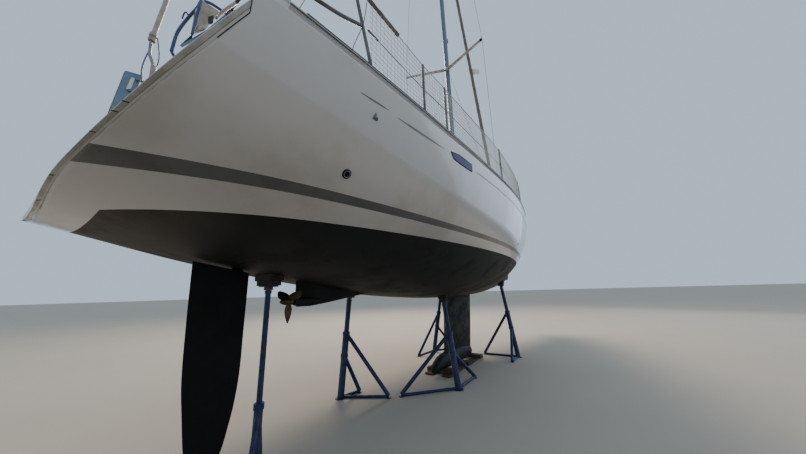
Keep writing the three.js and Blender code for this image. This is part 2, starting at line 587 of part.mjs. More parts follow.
// Part of the way up the stay, radius of the rolled sail there
const ROLL = [[0.001, 8], [0.03, 8], [0.032, 52], [0.3, 66], [0.75, 50], [0.95, 22], [0.952, 8], [0.998, 8]];
put('furled_headsail', loft(ROLL.map(([part, radius]) => {
  const [x, , z] = onStay(part);
  const ring = [];
  for (let i = 0; i < 14; i += 1) {
    const turn = (i / 14) * Math.PI * 2;
    ring.push([x + radius * Math.cos(turn), radius * Math.sin(turn), z]);
  }
  return ring;
})), 'canvas');
put('furler_drum', join(
  rod(onStay(0.0035), onStay(0.0062), 95, 10), rod(onStay(0.006), onStay(0.0112), 60, 10),
  rod(onStay(0.011), onStay(0.0135), 95, 10),
).subtract(rod(onStay(0), onStay(0.05), 12, 8)), 'black');

const tipOf = ({ z, half, sweep }, side) => [mastX(z) - sweep - 12, side * (half + 26), z + 72];
for (const [side, name] of [[1, 'port'], [-1, 'starboard']]) {
  const plate = [CHAINPLATE.x, side * CHAINPLATE.y, deckTop(CHAINPLATE.x, CHAINPLATE.y) + 1];
  const head = [mastX(16350) - 30, side * 66, 16350];
  const lowerRoot = [mastX(6600) - 60, side * 84, 6590];
  put(`shrouds_${name}`, join(
    bars([plate, tipOf(SPREADERS[0], side), tipOf(SPREADERS[1], side), head], 6, 6),
    rod(plate, lowerRoot, 5, 6),
    rod(plate, [plate[0] - 3, plate[1], plate[2] + 240], 16, 8),
    box(plate[0] - 40, plate[0] + 40, plate[1] - 30, plate[1] + 30, plate[2] - 40, plate[2] + 20),
  ).subtract(underDeck), 'stainless');
}
const split = [2350, 0, 5200];
const sternFoot = (side) => [830, side * 1380, deckTop(830, 1380) + 1];
put('backstay', join(
  rod([mastX(MAST.top) - 300, 0, MAST.top - 64], split, 6, 6),
  rod(split, sternFoot(1), 6, 6), rod(split, sternFoot(-1), 6, 6),
  rod([split[0] - 12, 0, split[2] - 25], [split[0] + 8, 0, split[2] + 18], 28, 8),
).subtract(underDeck), 'stainless');

// Rails, stanchions and lines round the deck
function railPoint(x, side, up) {
  const y = halfBeam(x) - RAIL.inset;
  return [x, side * y, deckTop(x, y) + up];
}
const STANCHIONS = [2100, 2530, 4400, 6250, 8100, 9800];
const pushpitLeg = (up) => PUSHPIT.foot - PUSHPIT.lean * up / PUSHPIT.height; // its forward leg leans aft
for (const [side, name] of [[1, 'port'], [-1, 'starboard']]) {
  const posts = STANCHIONS.map((x) => (
    rod(railPoint(x, side, -20), railPoint(x, side, RAIL.height), RAIL.tube, 6)));
  const line = (aftUp, up) => [
    railPoint(pushpitLeg(aftUp) + RAIL.tube + 2, side, aftUp),
    ...[...STANCHIONS, 11120].map((x) => railPoint(x, side, up)),
  ];
  put(`lifelines_${name}`, join(
    ...posts, bars(line(PUSHPIT.height - 30, RAIL.height - 12), RAIL.wire, 4),
    bars(line(PUSHPIT.mid, RAIL.mid), RAIL.wire, 4),
  ).subtract(underDeck), 'stainless');
  const legFoot = railPoint(PUSHPIT.foot, side, -20);
  const legHead = [
    pushpitLeg(PUSHPIT.height), legFoot[1], deckTop(PUSHPIT.foot, legFoot[1]) + PUSHPIT.height,
  ];
  const sternLegs = [[760, 1500], [790, 700]].map(([x, y]) => (
    rod([x, side * y, 1200], [x, side * y, deckTop(x, y) + PUSHPIT.height - 40], RAIL.tube, 6)));
  const sternRail = (up, drop) => bentTube([
    [pushpitLeg(up), legFoot[1], deckTop(PUSHPIT.foot, legFoot[1]) + up],
    [1100, side * 1690, deckTop(1100, 1690) + up - drop],
    [800, side * 1590, deckTop(760, 1560) + up - drop], [745, side * 1400, deckTop(760, 1400) + up - drop],
    [770, side * 640, deckTop(790, 700) + up - drop],
  ], RAIL.tube, 12, 6);
  const pushpit = join(
    rod(legFoot, legHead, RAIL.tube, 6), ...sternLegs,
    sternRail(PUSHPIT.height, 40), sternRail(PUSHPIT.mid, 55),
  ).subtract(underDeck);
  put(`pushpit_${name}`, pushpit, 'stainless');
}
const bowHalf = [
  [11180, halfBeam(11180) - 50], [11950, halfBeam(11950) - 30], [12600, 230], [12930, 120],
];
const bowRail = [...bowHalf, ...bowHalf.slice().reverse().map(([x, y]) => [x, -y])]
  .map(([x, y]) => [x, y, sheer(x) + RAIL.height + 40]);
const bowLegs = [bowRail[0], bowRail[1], bowRail[6], bowRail[7]].map(([x, y, z]) => (
  rod([x + 50, y - Math.sign(y) * 70, sheer(x) - 20], [x, y, z], RAIL.tube, 6)));
put('pulpit', join(bentTube(bowRail, RAIL.tube, 28, 6), ...bowLegs).subtract(underDeck), 'stainless');

// Bow roller and anchor
const ROLLER = { aft: 12300, front: 12960, half: 75, base: 1650, high: 1740 };
put('bow_roller', join(
  ...[-1, 1].map((side) => (
    box(ROLLER.aft, ROLLER.front, side * 67 - 8, side * 67 + 8, ROLLER.base, ROLLER.high))),
  centre(ROLLER.aft, ROLLER.front - 60, 70, ROLLER.base, ROLLER.base + 12),
  centre(ROLLER.aft + 20, ROLLER.aft + 400, 45, 1540, ROLLER.base + 5),
  rod([ROLLER.front - 40, -70, ROLLER.base + 34], [ROLLER.front - 40, 70, ROLLER.base + 34], 24, 12),
).subtract(underDeck), 'stainless');
const shank = ROLLER.base + 60; // underside of the anchor's shank
put('anchor', join(
  sideSlab([[12150, shank], [12960, shank], [13030, shank - 50], [13050, 1420], [13090, 1420], [13075, 1640],
    [12980, shank + 36], [12150, shank + 20]], -9, 9),
  loft([[12930, 20, 1290, 30], [13040, 130, 1340, 20], [13100, 30, 1480, 14]].map(([x, half, z, thick]) => (
    [[x, -half, z + 40], [x, 0, z], [x, half, z + 40], [x, 0, z + thick + 30]]))),
), 'stainless');
put('windlass', join(
  box(11720, 11960, -90, 90, deckTop(11840, 0) - 20, deckTop(11840, 0) + 90),
  rod([11840, 80, deckTop(11840, 0) + 55], [11840, 190, deckTop(11840, 0) + 55], 60, 12),
).subtract(underDeck), 'alloy');

// Winches
const WINCHES = [
  { name: 'winch_port', x: 2600, y: 1390, z: 1432 }, { name: 'winch_starboard', x: 2600, y: -1390, z: 1432 },
  { name: 'winch_roof_port', x: 4350, y: 760, z: 1715 },
  { name: 'winch_roof_starboard', x: 4350, y: -760, z: 1715 },
];
for (const { name, x, y, z } of WINCHES) {
  const profile = [[0, 0], [75, 0], [70, 30], [48, 50], [45, 110], [66, 140], [60, 155], [0, 155]];
  const outline = profile.map(([r, up]) => new THREE.Vector2(r, up));
  const drum = new THREE.LatheGeometry(outline, 18).rotateX(Math.PI / 2);
  put(name, solid(drum.translate(x, y, z)).subtract(underRoof), 'stainless');
}

// Stern pole and the flat panel beside it
const poleY = 300;
put('stern_pole', join(
  rod([560, poleY, PLATFORM.z + GAP], [560, poleY, 2700], 25, 12),
  rod([560, poleY, PLATFORM.z + GAP], [560, poleY, PLATFORM.z + 12], 70, 12),
  rod([560, poleY, 1900], [560, poleY, 2060], 40, 12),
), 'gelcoat');

// Stands: foot on the ground, head under the hull, the feet of the braces and how far up the post
// each starts, the radius of the post and of the tube in it, and half sizes of the timber pad
const SIDE_STAND = { starts: [0.62, 0.4], post: 50, tube: 38, sleeve: 0.62, brace: 30, pad: [80, 80] };
const STANDS = [
  {
    name: 'stern', foot: [1740, 0], head: [1740, 0], braces: [[2000, 330], [1480, -330]],
    starts: [0.36, 0.36], post: 42, tube: 28, sleeve: 0.36, brace: 24, pad: [75, 155],
  },
  {
    name: 'port_aft', foot: [3720, 880], head: [3860, 850], braces: [[4130, 170], [4090, 790]],
    ...SIDE_STAND,
  },
  {
    name: 'starboard_mid', foot: [5060, -690], head: [5110, -475], braces: [[4280, 20], [5850, -710]],
    ...SIDE_STAND,
  },
  {
    name: 'port_fore', foot: [7780, 1200], head: [7780, 850], braces: [[6960, 1250], [8300, 800]],
    ...SIDE_STAND,
  },
  {
    name: 'starboard_fore', foot: [8040, -1100], head: [8040, -850], braces: [[8020, -230], [7450, -1080]],
    ...SIDE_STAND,
  },
];
for (const { name, foot, head, braces, starts, post, tube, sleeve, brace, pad } of STANDS) {
  let z = bottom(head[0]) - 400;
  while (hullHalf(head[0], z) < Math.abs(head[1]) + 1 && z < 800) z += 4;
  const plateZ = z - 110;
  const at = (part) => [0, 1, 2].map((i) => (
    [...foot, GROUND][i] + ([...head, plateZ][i] - [...foot, GROUND][i]) * part));
  const legs = braces.map((point, i) => rod(at(starts[i]), [...point, GROUND + brace], brace, 8));
  const feet = braces.map((point) => rod([...foot, GROUND + 24], [...point, GROUND + 24], 24, 6));
  const stand = join(
    rod(at(0), at(sleeve), post, 14), rod(at(0.1), at(0.93), tube, 14), rod(at(0.85), at(1), 22, 12),
    box(head[0] - 70, head[0] + 70, head[1] - 70, head[1] + 70, plateZ - 12, plateZ),
    box(head[0] - pad[0], head[0] + pad[0], head[1] - pad[1], head[1] + pad[1], plateZ - 1, z + 220),
    ...legs, ...feet,
  ).subtract(centre(-1000, 14000, 3000, GROUND - 300, GROUND)).subtract(underHull);
  put(`stand_${name}`, stand, 'standBlue');
}
put('keel_blocking', join(
  ...[5850, 6650, 7450].map((x) => box(x - 90, x + 90, -330, 330, GROUND + 35, -1990)),
  ...[-200, 200].map((y) => box(5600, 7700, y - 90, y + 90, GROUND, GROUND + 40)),
).subtract(centre(5000, 8000, 1000, BED, -1900)), 'timber');

// Ground at z = 0, origin at mid-length
boat.position.z = -GROUND;
root.updateMatrixWorld(true);
const extent = new THREE.Box3().setFromObject(root, true);
boat.position.x = -(extent.min.x + extent.max.x) / 2;
root.updateMatrixWorld(true);

export default root;
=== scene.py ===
"""Sailing yacht of about 13 m, hauled out on its keel and steadied by yard stands.

Sizes are in metres in boat coordinates: x from the foot of the transom to the bow, y to port,
z up from the waterline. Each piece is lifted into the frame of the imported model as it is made.
"""
import json
import logging
import math
from dataclasses import dataclass, field
from enum import Enum

import bmesh
import bpy
import numpy as np
from mathutils import Matrix, Vector
from mathutils.bvhtree import BVHTree

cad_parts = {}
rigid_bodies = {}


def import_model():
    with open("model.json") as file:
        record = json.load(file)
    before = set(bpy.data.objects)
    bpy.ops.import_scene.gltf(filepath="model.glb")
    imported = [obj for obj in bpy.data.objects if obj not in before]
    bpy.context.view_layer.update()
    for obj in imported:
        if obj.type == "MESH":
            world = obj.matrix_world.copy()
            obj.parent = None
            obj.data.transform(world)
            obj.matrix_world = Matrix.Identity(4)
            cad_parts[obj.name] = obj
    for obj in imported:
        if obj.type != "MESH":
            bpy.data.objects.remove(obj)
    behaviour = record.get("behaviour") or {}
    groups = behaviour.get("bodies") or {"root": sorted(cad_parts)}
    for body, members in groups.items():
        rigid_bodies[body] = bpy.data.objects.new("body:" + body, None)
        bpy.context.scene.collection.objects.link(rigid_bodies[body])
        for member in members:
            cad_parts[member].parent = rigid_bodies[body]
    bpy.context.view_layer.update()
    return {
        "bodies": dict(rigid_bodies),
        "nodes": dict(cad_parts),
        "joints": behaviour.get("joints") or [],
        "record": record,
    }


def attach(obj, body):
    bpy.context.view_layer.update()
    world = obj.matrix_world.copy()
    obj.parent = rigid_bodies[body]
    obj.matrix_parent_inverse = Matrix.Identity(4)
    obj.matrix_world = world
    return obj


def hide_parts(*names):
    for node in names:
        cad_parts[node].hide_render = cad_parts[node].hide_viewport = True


Socket = bpy.types.NodeSocket
Reals = np.ndarray | float  # one number or an array of them

LOG = logging.getLogger("yacht")
LIFT = np.array([-6.576551, 0.0, 2.14])  # boat coordinates to the frame of the model
SIDES = {"port": 1.0, "starboard": -1.0}
MIRROR = np.array([1.0, -1.0, 1.0])  # carries a point across the centreline
ALONG, ACROSS, UP = (1, 0, 0), (0, 1, 0), (0, 0, 1)  # directions
STOCK_X = 1.39  # where the rudder stock stands
SHAFT = (2.0, 0.0, -0.49)  # the middle of the propeller
GAP = 0.0003  # between two pieces that meet
SPLITS = 36  # how often a search halves its span
HATCHES = {"hatch_saloon": 5.75, "hatch_forward": 8.15}  # where each roof hatch starts


def linear(colour: str) -> tuple[float, float, float, float]:
    """Turns an sRGB hex colour linear: c / 12.92 up to 0.04045, else ((c + 0.055) / 1.055)^2.4.

    Args:
        colour: six hex digits.

    Returns:
        Linear red, green, blue and an alpha of one.
    """
    parts = np.array([int(colour[i:i + 2], 16) for i in (0, 2, 4)]) / 255.0
    flat = np.where(parts <= 0.04045, parts / 12.92, ((parts + 0.055) / 1.055) ** 2.4)
    return (*flat.tolist(), 1.0)


# Finishes


class Grain(Enum):
    """The fine pattern of a surface."""

    GEL = "moulded gelcoat"
    GRIT = "moulded non-skid"
    SAWN = "wood grain"
    WEAVE = "woven cloth"
    DRAWN = "drawn or brushed metal"
    CAST = "cast or painted metal"
    ROLLED = "paint put on by roller"


GEL, GRIT, SAWN, WEAVE, DRAWN, CAST, ROLLED = Grain


class Nodes:
    """The shader nodes of one material, with patterns sized in millimetres."""

    def __init__(self, name: str) -> None:
        """Starts a material with its principled shader and object coordinates.

        Args:
            name: its name.
        """
        self.material = bpy.data.materials.new(name)
        self.material.use_nodes = True
        self.tree = self.material.node_tree
        self.shader = self.tree.nodes["Principled BSDF"]
        self.place = self.tree.nodes.new("ShaderNodeTexCoord").outputs["Object"]

    def add(self, kind: str, inputs: dict, **settings: object) -> bpy.types.Node:
        """Adds a node.

        Args:
            kind: the node's type.
            inputs: input sockets by name or number, each a value or another node's output.
            settings: the node's own options.

        Returns:
            The new node.
        """
        node = self.tree.nodes.new(kind)
        for key, value in settings.items():
            setattr(node, key, value)
        for key, value in inputs.items():
            if isinstance(value, bpy.types.NodeSocket):
                self.tree.links.new(value, node.inputs[key])
            else:
                node.inputs[key].default_value = value
        return node

    def stretched(self, along: tuple[float, float, float]) -> Socket:
        """Returns object coordinates scaled by one factor for each axis."""
        return self.add("ShaderNodeMapping", {"Vector": self.place, "Scale": along}).outputs[0]

    def noise(self, size: float, detail: float = 4.0,
              along: tuple[float, float, float] = (1, 1, 1)) -> Socket:
        """Returns cloudy noise with features of a size in millimetres.

        Args:
            size: the features' size.
            detail: how many finer layers it has.
            along: a factor for each axis.

        Returns:
            Its value, from 0 to 1.
        """
        vector = self.place if along == (1, 1, 1) else self.stretched(along)
        return self.add("ShaderNodeTexNoise", {
            "Vector": vector, "Scale": 1000.0 / size, "Detail": detail, "Roughness": 0.6}).outputs[0]

    def steps(self, value: Socket, low: float, high: float, start: float = 0.0, end: float = 1.0) -> Socket:
        """Returns the value carried from low..high to start..end and held at both ends."""
        return self.add("ShaderNodeMapRange", {
            0: value, 1: low, 2: high, 3: start, 4: end}, interpolation_type="SMOOTHSTEP").outputs[0]

    def sum(self, kind: str, a: object, b: object) -> Socket:
        """Returns one arithmetic step on two values."""
        return self.add("ShaderNodeMath", {0: a, 1: b}, operation=kind).outputs[0]

    def blend(self, part: Socket, a: object, b: object) -> Socket:
        """Returns colour a where part is 0 and colour b where it is 1."""
        return self.add("ShaderNodeMix", {0: part, 6: a, 7: b}, data_type="RGBA").outputs[2]

    def wire(self, **inputs: object) -> None:
        """Sets the shader's inputs, named with _ for a space, to values or other nodes' outputs."""
        for name, value in inputs.items():
            socket = self.shader.inputs[name.replace("_", " ")]
            if isinstance(value, Socket):
                self.tree.links.new(value, socket)
            else:
                socket.default_value = value


@dataclass(frozen=True)
class Finish:
    """A real material. Sizes are in millimetres and colours are sRGB hex."""

    name: str
    slot: str
    colour: str
    worn: str
    rough: float
    grain: Grain
    patch: float = 300.0  # size of the patches in the second colour
    cover: float = 0.4  # how much of the surface they take
    spread: float = 0.08  # how far the roughness wanders
    pitch: float = 3.0  # size of the fine pattern
    relief: float = 0.05  # its height
    metal: float = 0.0
    coat: float = 0.0
    chipped: str = ""  # what shows where the paint is chipped
    # the next colour is graded in over the span: painted shade at the keel's foot, a brownish aft end on the
    # bottom paint
    span_colour: str = ""  # the colour at the near end of the span below
    span: tuple[str, float, float] = ("X", -6.3, -5.2)  # axis, start and end of the fade, in metres
    mirror: float = 0.5  # how strongly it mirrors; flat paints less

    def height(self, nodes: Nodes) -> Socket:
        """Returns the fine pattern's height, from 0 to 1.

        Args:
            nodes: the material that is being made.

        Returns:
            The socket that carries the height.
        """
        scale = 1000.0 / self.pitch
        if self.grain is GRIT:
            cells = nodes.add("ShaderNodeTexVoronoi", {"Vector": nodes.place, "Scale": scale})
            return nodes.steps(cells.outputs[0], 0.25, 0.6, 1.0, 0.0)
        if self.grain is SAWN:
            rings = nodes.add("ShaderNodeTexWave", {
                "Vector": nodes.stretched((0.06, 1, 1)), "Scale": scale, "Distortion": 6.0,
                "Detail": 3.0}, bands_direction="Z")
            return nodes.sum("MULTIPLY", rings.outputs[1], nodes.noise(self.pitch, 5, (0.05, 1, 1)))
        if self.grain is WEAVE:
            threads = [nodes.add("ShaderNodeTexWave", {
                "Vector": nodes.place, "Scale": scale / 2, "Distortion": 0.4},
                bands_direction=axis).outputs[1] for axis in ("Z", "DIAGONAL")]
            return nodes.sum("MULTIPLY", *threads)
        along = {DRAWN: (0.04, 1, 1), ROLLED: (0.35, 1, 1)}.get(self.grain, (1, 1, 1))
        return nodes.noise(self.pitch, 3, along)

    def build(self) -> bpy.types.Material:
        """Makes the material: patches of a second colour, wandering roughness, fine relief and chips.

        Returns:
            The Blender material.
        """
        nodes = Nodes(self.name)
        patches = nodes.steps(nodes.noise(self.patch, 6), 0.62 - self.cover * 0.5, 0.78 - self.cover * 0.3)
        height = self.height(nodes)
        colour = nodes.blend(patches, linear(self.colour), linear(self.worn))
        if self.grain in (SAWN, WEAVE, GRIT):
            colour = nodes.blend(nodes.steps(height, 0.2, 0.9, 0.45, 0.0), colour, linear(self.worn))
        # colour graded along one axis; on the keel the darker foot is painted shade
        if self.span_colour:
            axis, start, end = self.span
            part = nodes.add("ShaderNodeSeparateXYZ", {0: nodes.place}).outputs[axis]
            cloud = nodes.sum("MULTIPLY", nodes.noise(420.0, 4), 0.5 * (end - start))
            far = nodes.steps(nodes.sum("ADD", part, cloud), start, end)
            colour = nodes.blend(far, linear(self.span_colour), colour)
        rough = nodes.steps(patches, 0.0, 1.0, max(self.rough - self.spread, 0.02), self.rough + self.spread)
        if self.chipped:
            chips = nodes.steps(nodes.noise(18.0, 8), 0.6, 0.63)
            spots = nodes.sum("MULTIPLY", chips, nodes.steps(nodes.noise(160.0, 3), 0.45, 0.6))
            colour = nodes.blend(spots, colour, linear(self.chipped))
            rough = nodes.sum("MAXIMUM", rough, nodes.sum("MULTIPLY", spots, 0.8))
        bump = nodes.add("ShaderNodeBump", {
            "Strength": 1.0, "Distance": self.relief / 1000.0, "Height": height})
        nodes.wire(Base_Color=colour, Roughness=rough, Normal=bump.outputs[0], Metallic=self.metal,
                   Coat_Weight=self.coat, Coat_Roughness=0.06, Specular_IOR_Level=self.mirror)
        return nodes.material


class Paint:
    """Every finish of the boat and its stands, each made once when it is first asked for."""

    ALL = {f.name: f for f in (
        Finish("gelcoat_topsides", "topsides", "c2b9b1", "b4a99e", 0.2, GEL, 900, 0.35, 0.05, 14, 0.02,
               coat=0.5),
        Finish("gelcoat_transom", "topsides", "b9b2a6", "afa799", 0.3, GEL, 260, 0.45, 0.08, 9, 0.03,
               coat=0.3),
        Finish("gelcoat_coping", "topsides", "a59d91", "8f8679", 0.36, GEL, 120, 0.5, 0.08, 7, 0.04,
               coat=0.2),
        Finish("gelcoat_deck", "deck_gelcoat", "d6d3cb", "ccc8be", 0.34, GEL, 350, 0.35, 0.08, 8, 0.03,
               coat=0.2),
        Finish("nonskid_deck", "deck_nonskid", "b3b1a8", "a29f94", 0.7, GRIT, 420, 0.4, 0.08, 6, 0.5),
        Finish("stripe_paint", "topsides", "5d5956", "524e4b", 0.3, GEL, 500, 0.4, 0.06, 12, 0.02, coat=0.3),
        Finish("cove_tape", "topsides", "6d6967", "5f5c5a", 0.4, GEL, 200, 0.3, 0.06, 8, 0.01),
        # near-black bottom paint, graded to brownish towards the stern
        Finish("antifouling", "antifoul", "0b0c0d", "14110d", 0.74, ROLLED, 500, 0.35, 0.08, 7, 0.25,
               span_colour="4e4339", mirror=0.45),
        # keel paint darker towards its foot near the ground: painted shade
        Finish("keel_antifouling", "keel_paint", "302c27", "201d1a", 0.74, ROLLED, 190, 0.5, 0.08, 8, 0.3,
               chipped="40392f", span_colour="1c1a18", span=("Z", 0.25, 1.3), mirror=0.3),
        Finish("rudder_antifouling", "antifoul", "0c0d0e", "151210", 0.74, ROLLED, 240, 0.4, 0.08, 7, 0.25,
               mirror=0.2),
        Finish("smoked_acrylic", "glazing", "14171b", "1d2126", 0.1, GEL, 400, 0.3, 0.04, 20, 0.01, coat=1.0),
        # dark window glass with the blue of a sky reflection painted into its colour
        Finish("port_glass_painted_sky", "glazing", "191650", "262263", 0.5, GEL, 160, 0.4, 0.04, 20, 0.01),
        Finish("blue_acrylic", "glazing", "6a8099", "788da3", 0.35, GEL, 120, 0.4, 0.05, 12, 0.02, coat=0.4),
        Finish("anodised_spar", "spar_alloy", "6b7683", "7b838c", 0.42, DRAWN, 500, 0.4, 0.08, 2, 0.03, 0.75),
        Finish("spreader_alloy", "spar_alloy", "b9b0a6", "a0978d", 0.5, DRAWN, 200, 0.5, 0.08, 2, 0.03, 0.5),
        Finish("anodised_trim", "alloy", "80858a", "6d7175", 0.4, DRAWN, 260, 0.4, 0.08, 2, 0.03, 0.8),
        Finish("dark_anodised", "alloy", "3f4144", "505254", 0.5, DRAWN, 260, 0.4, 0.08, 2, 0.03, 0.6),
        Finish("stainless_tube", "stainless", "8f8c88", "736f6b", 0.26, DRAWN, 120, 0.35, 0.06, 1.5, 0.01,
               1.0),
        Finish("dulled_tube", "stainless", "77746f", "5f5c58", 0.4, DRAWN, 120, 0.4, 0.08, 1.5, 0.02, 0.9),
        Finish("rigging_wire", "stainless", "7e7f80", "696a6c", 0.38, DRAWN, 60, 0.4, 0.08, 1.5, 0.05, 0.9),
        Finish("galvanised_steel", "galvanised", "8e9092", "767675", 0.5, CAST, 30, 0.5, 0.1, 3, 0.08, 0.9),
        Finish("bronze", "bronze", "5c4a38", "443d33", 0.45, CAST, 60, 0.5, 0.1, 3, 0.05, 0.85),
        Finish("sun_strip_cloth", "sail_cover", "877e77", "6e665f", 0.88, WEAVE, 260, 0.45, 0.05, 2.4, 0.12),
        Finish("sail_cloth", "sail_cover", "f0eee6", "dedace", 0.8, WEAVE, 160, 0.4, 0.05, 2.4, 0.1),
        Finish("line_padding", "sail_cover", "8d8277", "6d6359", 0.9, WEAVE, 120, 0.5, 0.05, 3, 0.2),
        Finish("blue_sleeve", "sail_cover", "54648c", "3f4d70", 0.7, WEAVE, 90, 0.5, 0.06, 2, 0.1),
        Finish("netting_cord", "sail_cover", "e6e3da", "cbc7bc", 0.85, WEAVE, 80, 0.4, 0.05, 1, 0.05),
        # black plastic; also the black sheet of painted shade on the rail box's mouth
        Finish("black_moulding_and_shade", "black_plastic", "202124", "2b2c2f", 0.5, CAST, 90, 0.4, 0.08, 2, 0.05),
        # near-black: rubber seals and sealed joints, and painted shade in the outlets' holes
        Finish("rubber_seal_and_hole_shade", "black_plastic", "0d0d0e", "161617", 0.8, CAST, 50, 0.4, 0.08, 2, 0.05,
               mirror=0.3),
        Finish("fendered_tube", "white_tube", "b3a494", "9c8c7c", 0.42, CAST, 90, 0.45, 0.08, 3, 0.06,
               coat=0.2),
        Finish("stand_enamel", "stand_blue", "112853", "0c1d3d", 0.5, CAST, 70, 0.45, 0.1, 4, 0.12,
               chipped="5b4637"),
        Finish("stand_screw_steel", "galvanised", "55504b", "6d5644", 0.6, CAST, 25, 0.5, 0.1, 2, 0.06, 0.7),
        Finish("softwood", "timber", "5e4d3a", "46392c", 0.86, SAWN, 240, 0.4, 0.06, 9, 0.5),
        # a darker copy of the softwood for the stand pads: painted shade under the hull
        Finish("pad_timber_painted_shade", "timber", "3b332a", "2b2620", 0.86, SAWN, 120, 0.4, 0.06, 7, 0.4),
        Finish("teak", "teak", "8f6d49", "77593b", 0.62, SAWN, 160, 0.4, 0.06, 5, 0.25),
        Finish("engine_enamel", "engine_grey", "6f7779", "5f6668", 0.5, CAST, 80, 0.4, 0.08, 4, 0.05),
    )}

    def __init__(self) -> None:
        """Starts with no material made."""
        self.made: dict[str, bpy.types.Material] = {}

    def material(self, name: str) -> bpy.types.Material:
        """Returns the material of a finish, made on first use.

        Args:
            name: the finish.

        Returns:
            Its material.
        """
        if name not in self.made:
            self.made[name] = self.ALL[name].build()
        return self.made[name]


# Shapes


@dataclass
class Form:
    """Points and faces of a surface in boat coordinates, with a finish number for each face."""

    points: np.ndarray
    faces: list[list[int]]
    coats: list[int] = field(default_factory=list)

    def on(self, side: float) -> "Form":
        """Returns the form as it is for port, and with y turned into -y for starboard."""
        return self if side > 0 else Form(self.points * MIRROR, [f[::-1] for f in self.faces], self.coats)


def group(*forms: Form) -> Form:
    """Returns several forms as one, with their face numbers shifted.

    Args:
        forms: the forms.

    Returns:
        One form.
    """
    starts = np.cumsum([0] + [len(f.points) for f in forms])
    faces = [[i + int(s) for i in face] for f, s in zip(forms, starts) for face in f.faces]
    coats = [c for f in forms for c in (f.coats or [0] * len(f.faces))]
    return Form(np.vstack([f.points for f in forms]), faces, coats)


def unit(vectors: np.ndarray) -> np.ndarray:
    """Returns vectors divided by their lengths."""
    return vectors / np.maximum(np.linalg.norm(vectors, axis=-1, keepdims=True), 1e-12)


def skin(grid: np.ndarray, wrap: bool = False, ends: bool = False) -> Form:
    """Covers a grid with quads, one between each four neighbours.

    Args:
        grid: points by row and column.
        wrap: join the last column to the first.
        ends: close the first and last rows with flat faces.

    Returns:
        The surface.
    """
    rows, columns = grid.shape[:2]
    index = np.arange(rows * columns).reshape(rows, columns)
    if ends:
        caps = [index[0][::-1].tolist(), index[-1].tolist()]
    if wrap:
        index = np.hstack([index, index[:, :1]])
    quads = np.stack([index[:-1, :-1], index[:-1, 1:], index[1:, 1:], index[1:, :-1]], -1)
    faces = quads.reshape(-1, 4).tolist() + (caps if ends else [])
    return Form(grid.reshape(-1, 3), faces)


def solid(grid: np.ndarray) -> Form:
    """Returns the closed body over a grid that has one section in each row."""
    return skin(grid, wrap=True, ends=True)


def loft(*axes: Reals) -> Form:
    """Returns the closed body over sections whose x, y and z are spread over one grid."""
    return solid(np.stack(np.broadcast_arrays(*axes), -1))


def angles(count: int) -> np.ndarray:
    """Returns evenly spaced angles of one full turn."""
    return np.linspace(0, 2 * math.pi, count, endpoint=False)


def tubes(paths: np.ndarray, radius: Reals, sides: int, across: np.ndarray | tuple) -> Form:
    """Carries a circle along many paths: p + r (cos a n + sin a b), n = across x t, b = t x n.

    Args:
        paths: points by path and place along it.
        radius: one radius, or one for each place.
        sides: faces round the tube.
        across: a direction that no path follows.

    Returns:
        Closed tubes, one for each path.
    """
    count, length = paths.shape[:2]
    ahead = unit(np.gradient(paths, axis=1))
    out = unit(np.cross(np.broadcast_to(across, ahead.shape), ahead))
    up = np.cross(ahead, out)
    turn = np.arange(sides) / sides * 2 * math.pi
    size = np.broadcast_to(np.asarray(radius, float), (length,))[None, :, None, None]
    ring = size * (np.cos(turn)[:, None] * out[:, :, None, :] + np.sin(turn)[:, None] * up[:, :, None, :])
    grid = paths[:, :, None, :] + ring
    index = np.arange(count * length * sides).reshape(count, length, sides)
    after = np.roll(index, -1, axis=2)
    quads = np.stack([index[:, :-1], after[:, :-1], after[:, 1:], index[:, 1:]], -1).reshape(-1, 4)
    caps = np.concatenate([index[:, 0, ::-1], index[:, -1]]).tolist()
    return Form(grid.reshape(-1, 3), quads.tolist() + caps)


def pipe(path: np.ndarray | list, radius: Reals | list, sides: int = 12) -> Form:
    """Carries a circle along one path, square to the direction in which the path bends least.

    Args:
        path: the points of its middle.
        radius: one radius, or one for each point.
        sides: faces round the pipe.

    Returns:
        A closed pipe.
    """
    path = np.asarray(path, float)
    across = np.linalg.svd(path - path.mean(0), full_matrices=True)[2][-1]
    return tubes(path[None], radius, sides, across)


def smooth(points: list | np.ndarray, count: int) -> np.ndarray:
    """Draws a curve through points: Hermite cubics over the chord length, slopes from neighbours.

    Args:
        points: the points that it goes through.
        count: how many points to return.

    Returns:
        Evenly spaced points on the curve.
    """
    points = np.asarray(points, float)
    along = np.concatenate([[0], np.cumsum(np.linalg.norm(np.diff(points, axis=0), axis=1))])
    table = np.column_stack([along, points])
    at = np.linspace(0, along[-1], count)
    return np.stack([read(table, at, column) for column in range(1, table.shape[1])], -1)


def rounded(points: list | np.ndarray, radius: float, steps: int = 6) -> np.ndarray:
    """Rounds the corners of a path: each becomes the curve (1-t)^2 a + 2t(1-t) p + t^2 b.

    Args:
        points: the corners.
        radius: how far from a corner its curve starts and ends.
        steps: points on each curve.

    Returns:
        The path with its round corners.
    """
    points = np.asarray(points, float)
    before, corner, after = points[:-2], points[1:-1], points[2:]
    start = corner + unit(before - corner) * radius
    end = corner + unit(after - corner) * radius
    t = np.linspace(0, 1, steps)[None, :, None]
    bends = (1 - t) ** 2 * start[:, None] + 2 * t * (1 - t) * corner[:, None] + t ** 2 * end[:, None]
    return np.vstack([points[:1], bends.reshape(-1, points.shape[1]), points[-1:]])


def closed(points: list, radius: float, steps: int = 5) -> np.ndarray:
    """Returns the closed outline through points with all its corners rounded."""
    return rounded([*points, *points[:2]], radius, steps)[1:-1]


def bent(points: list | np.ndarray, count: int, radius: float, sides: int) -> Form:
    """Returns a pipe along the smooth curve through points."""
    return pipe(smooth(points, count), radius, sides)


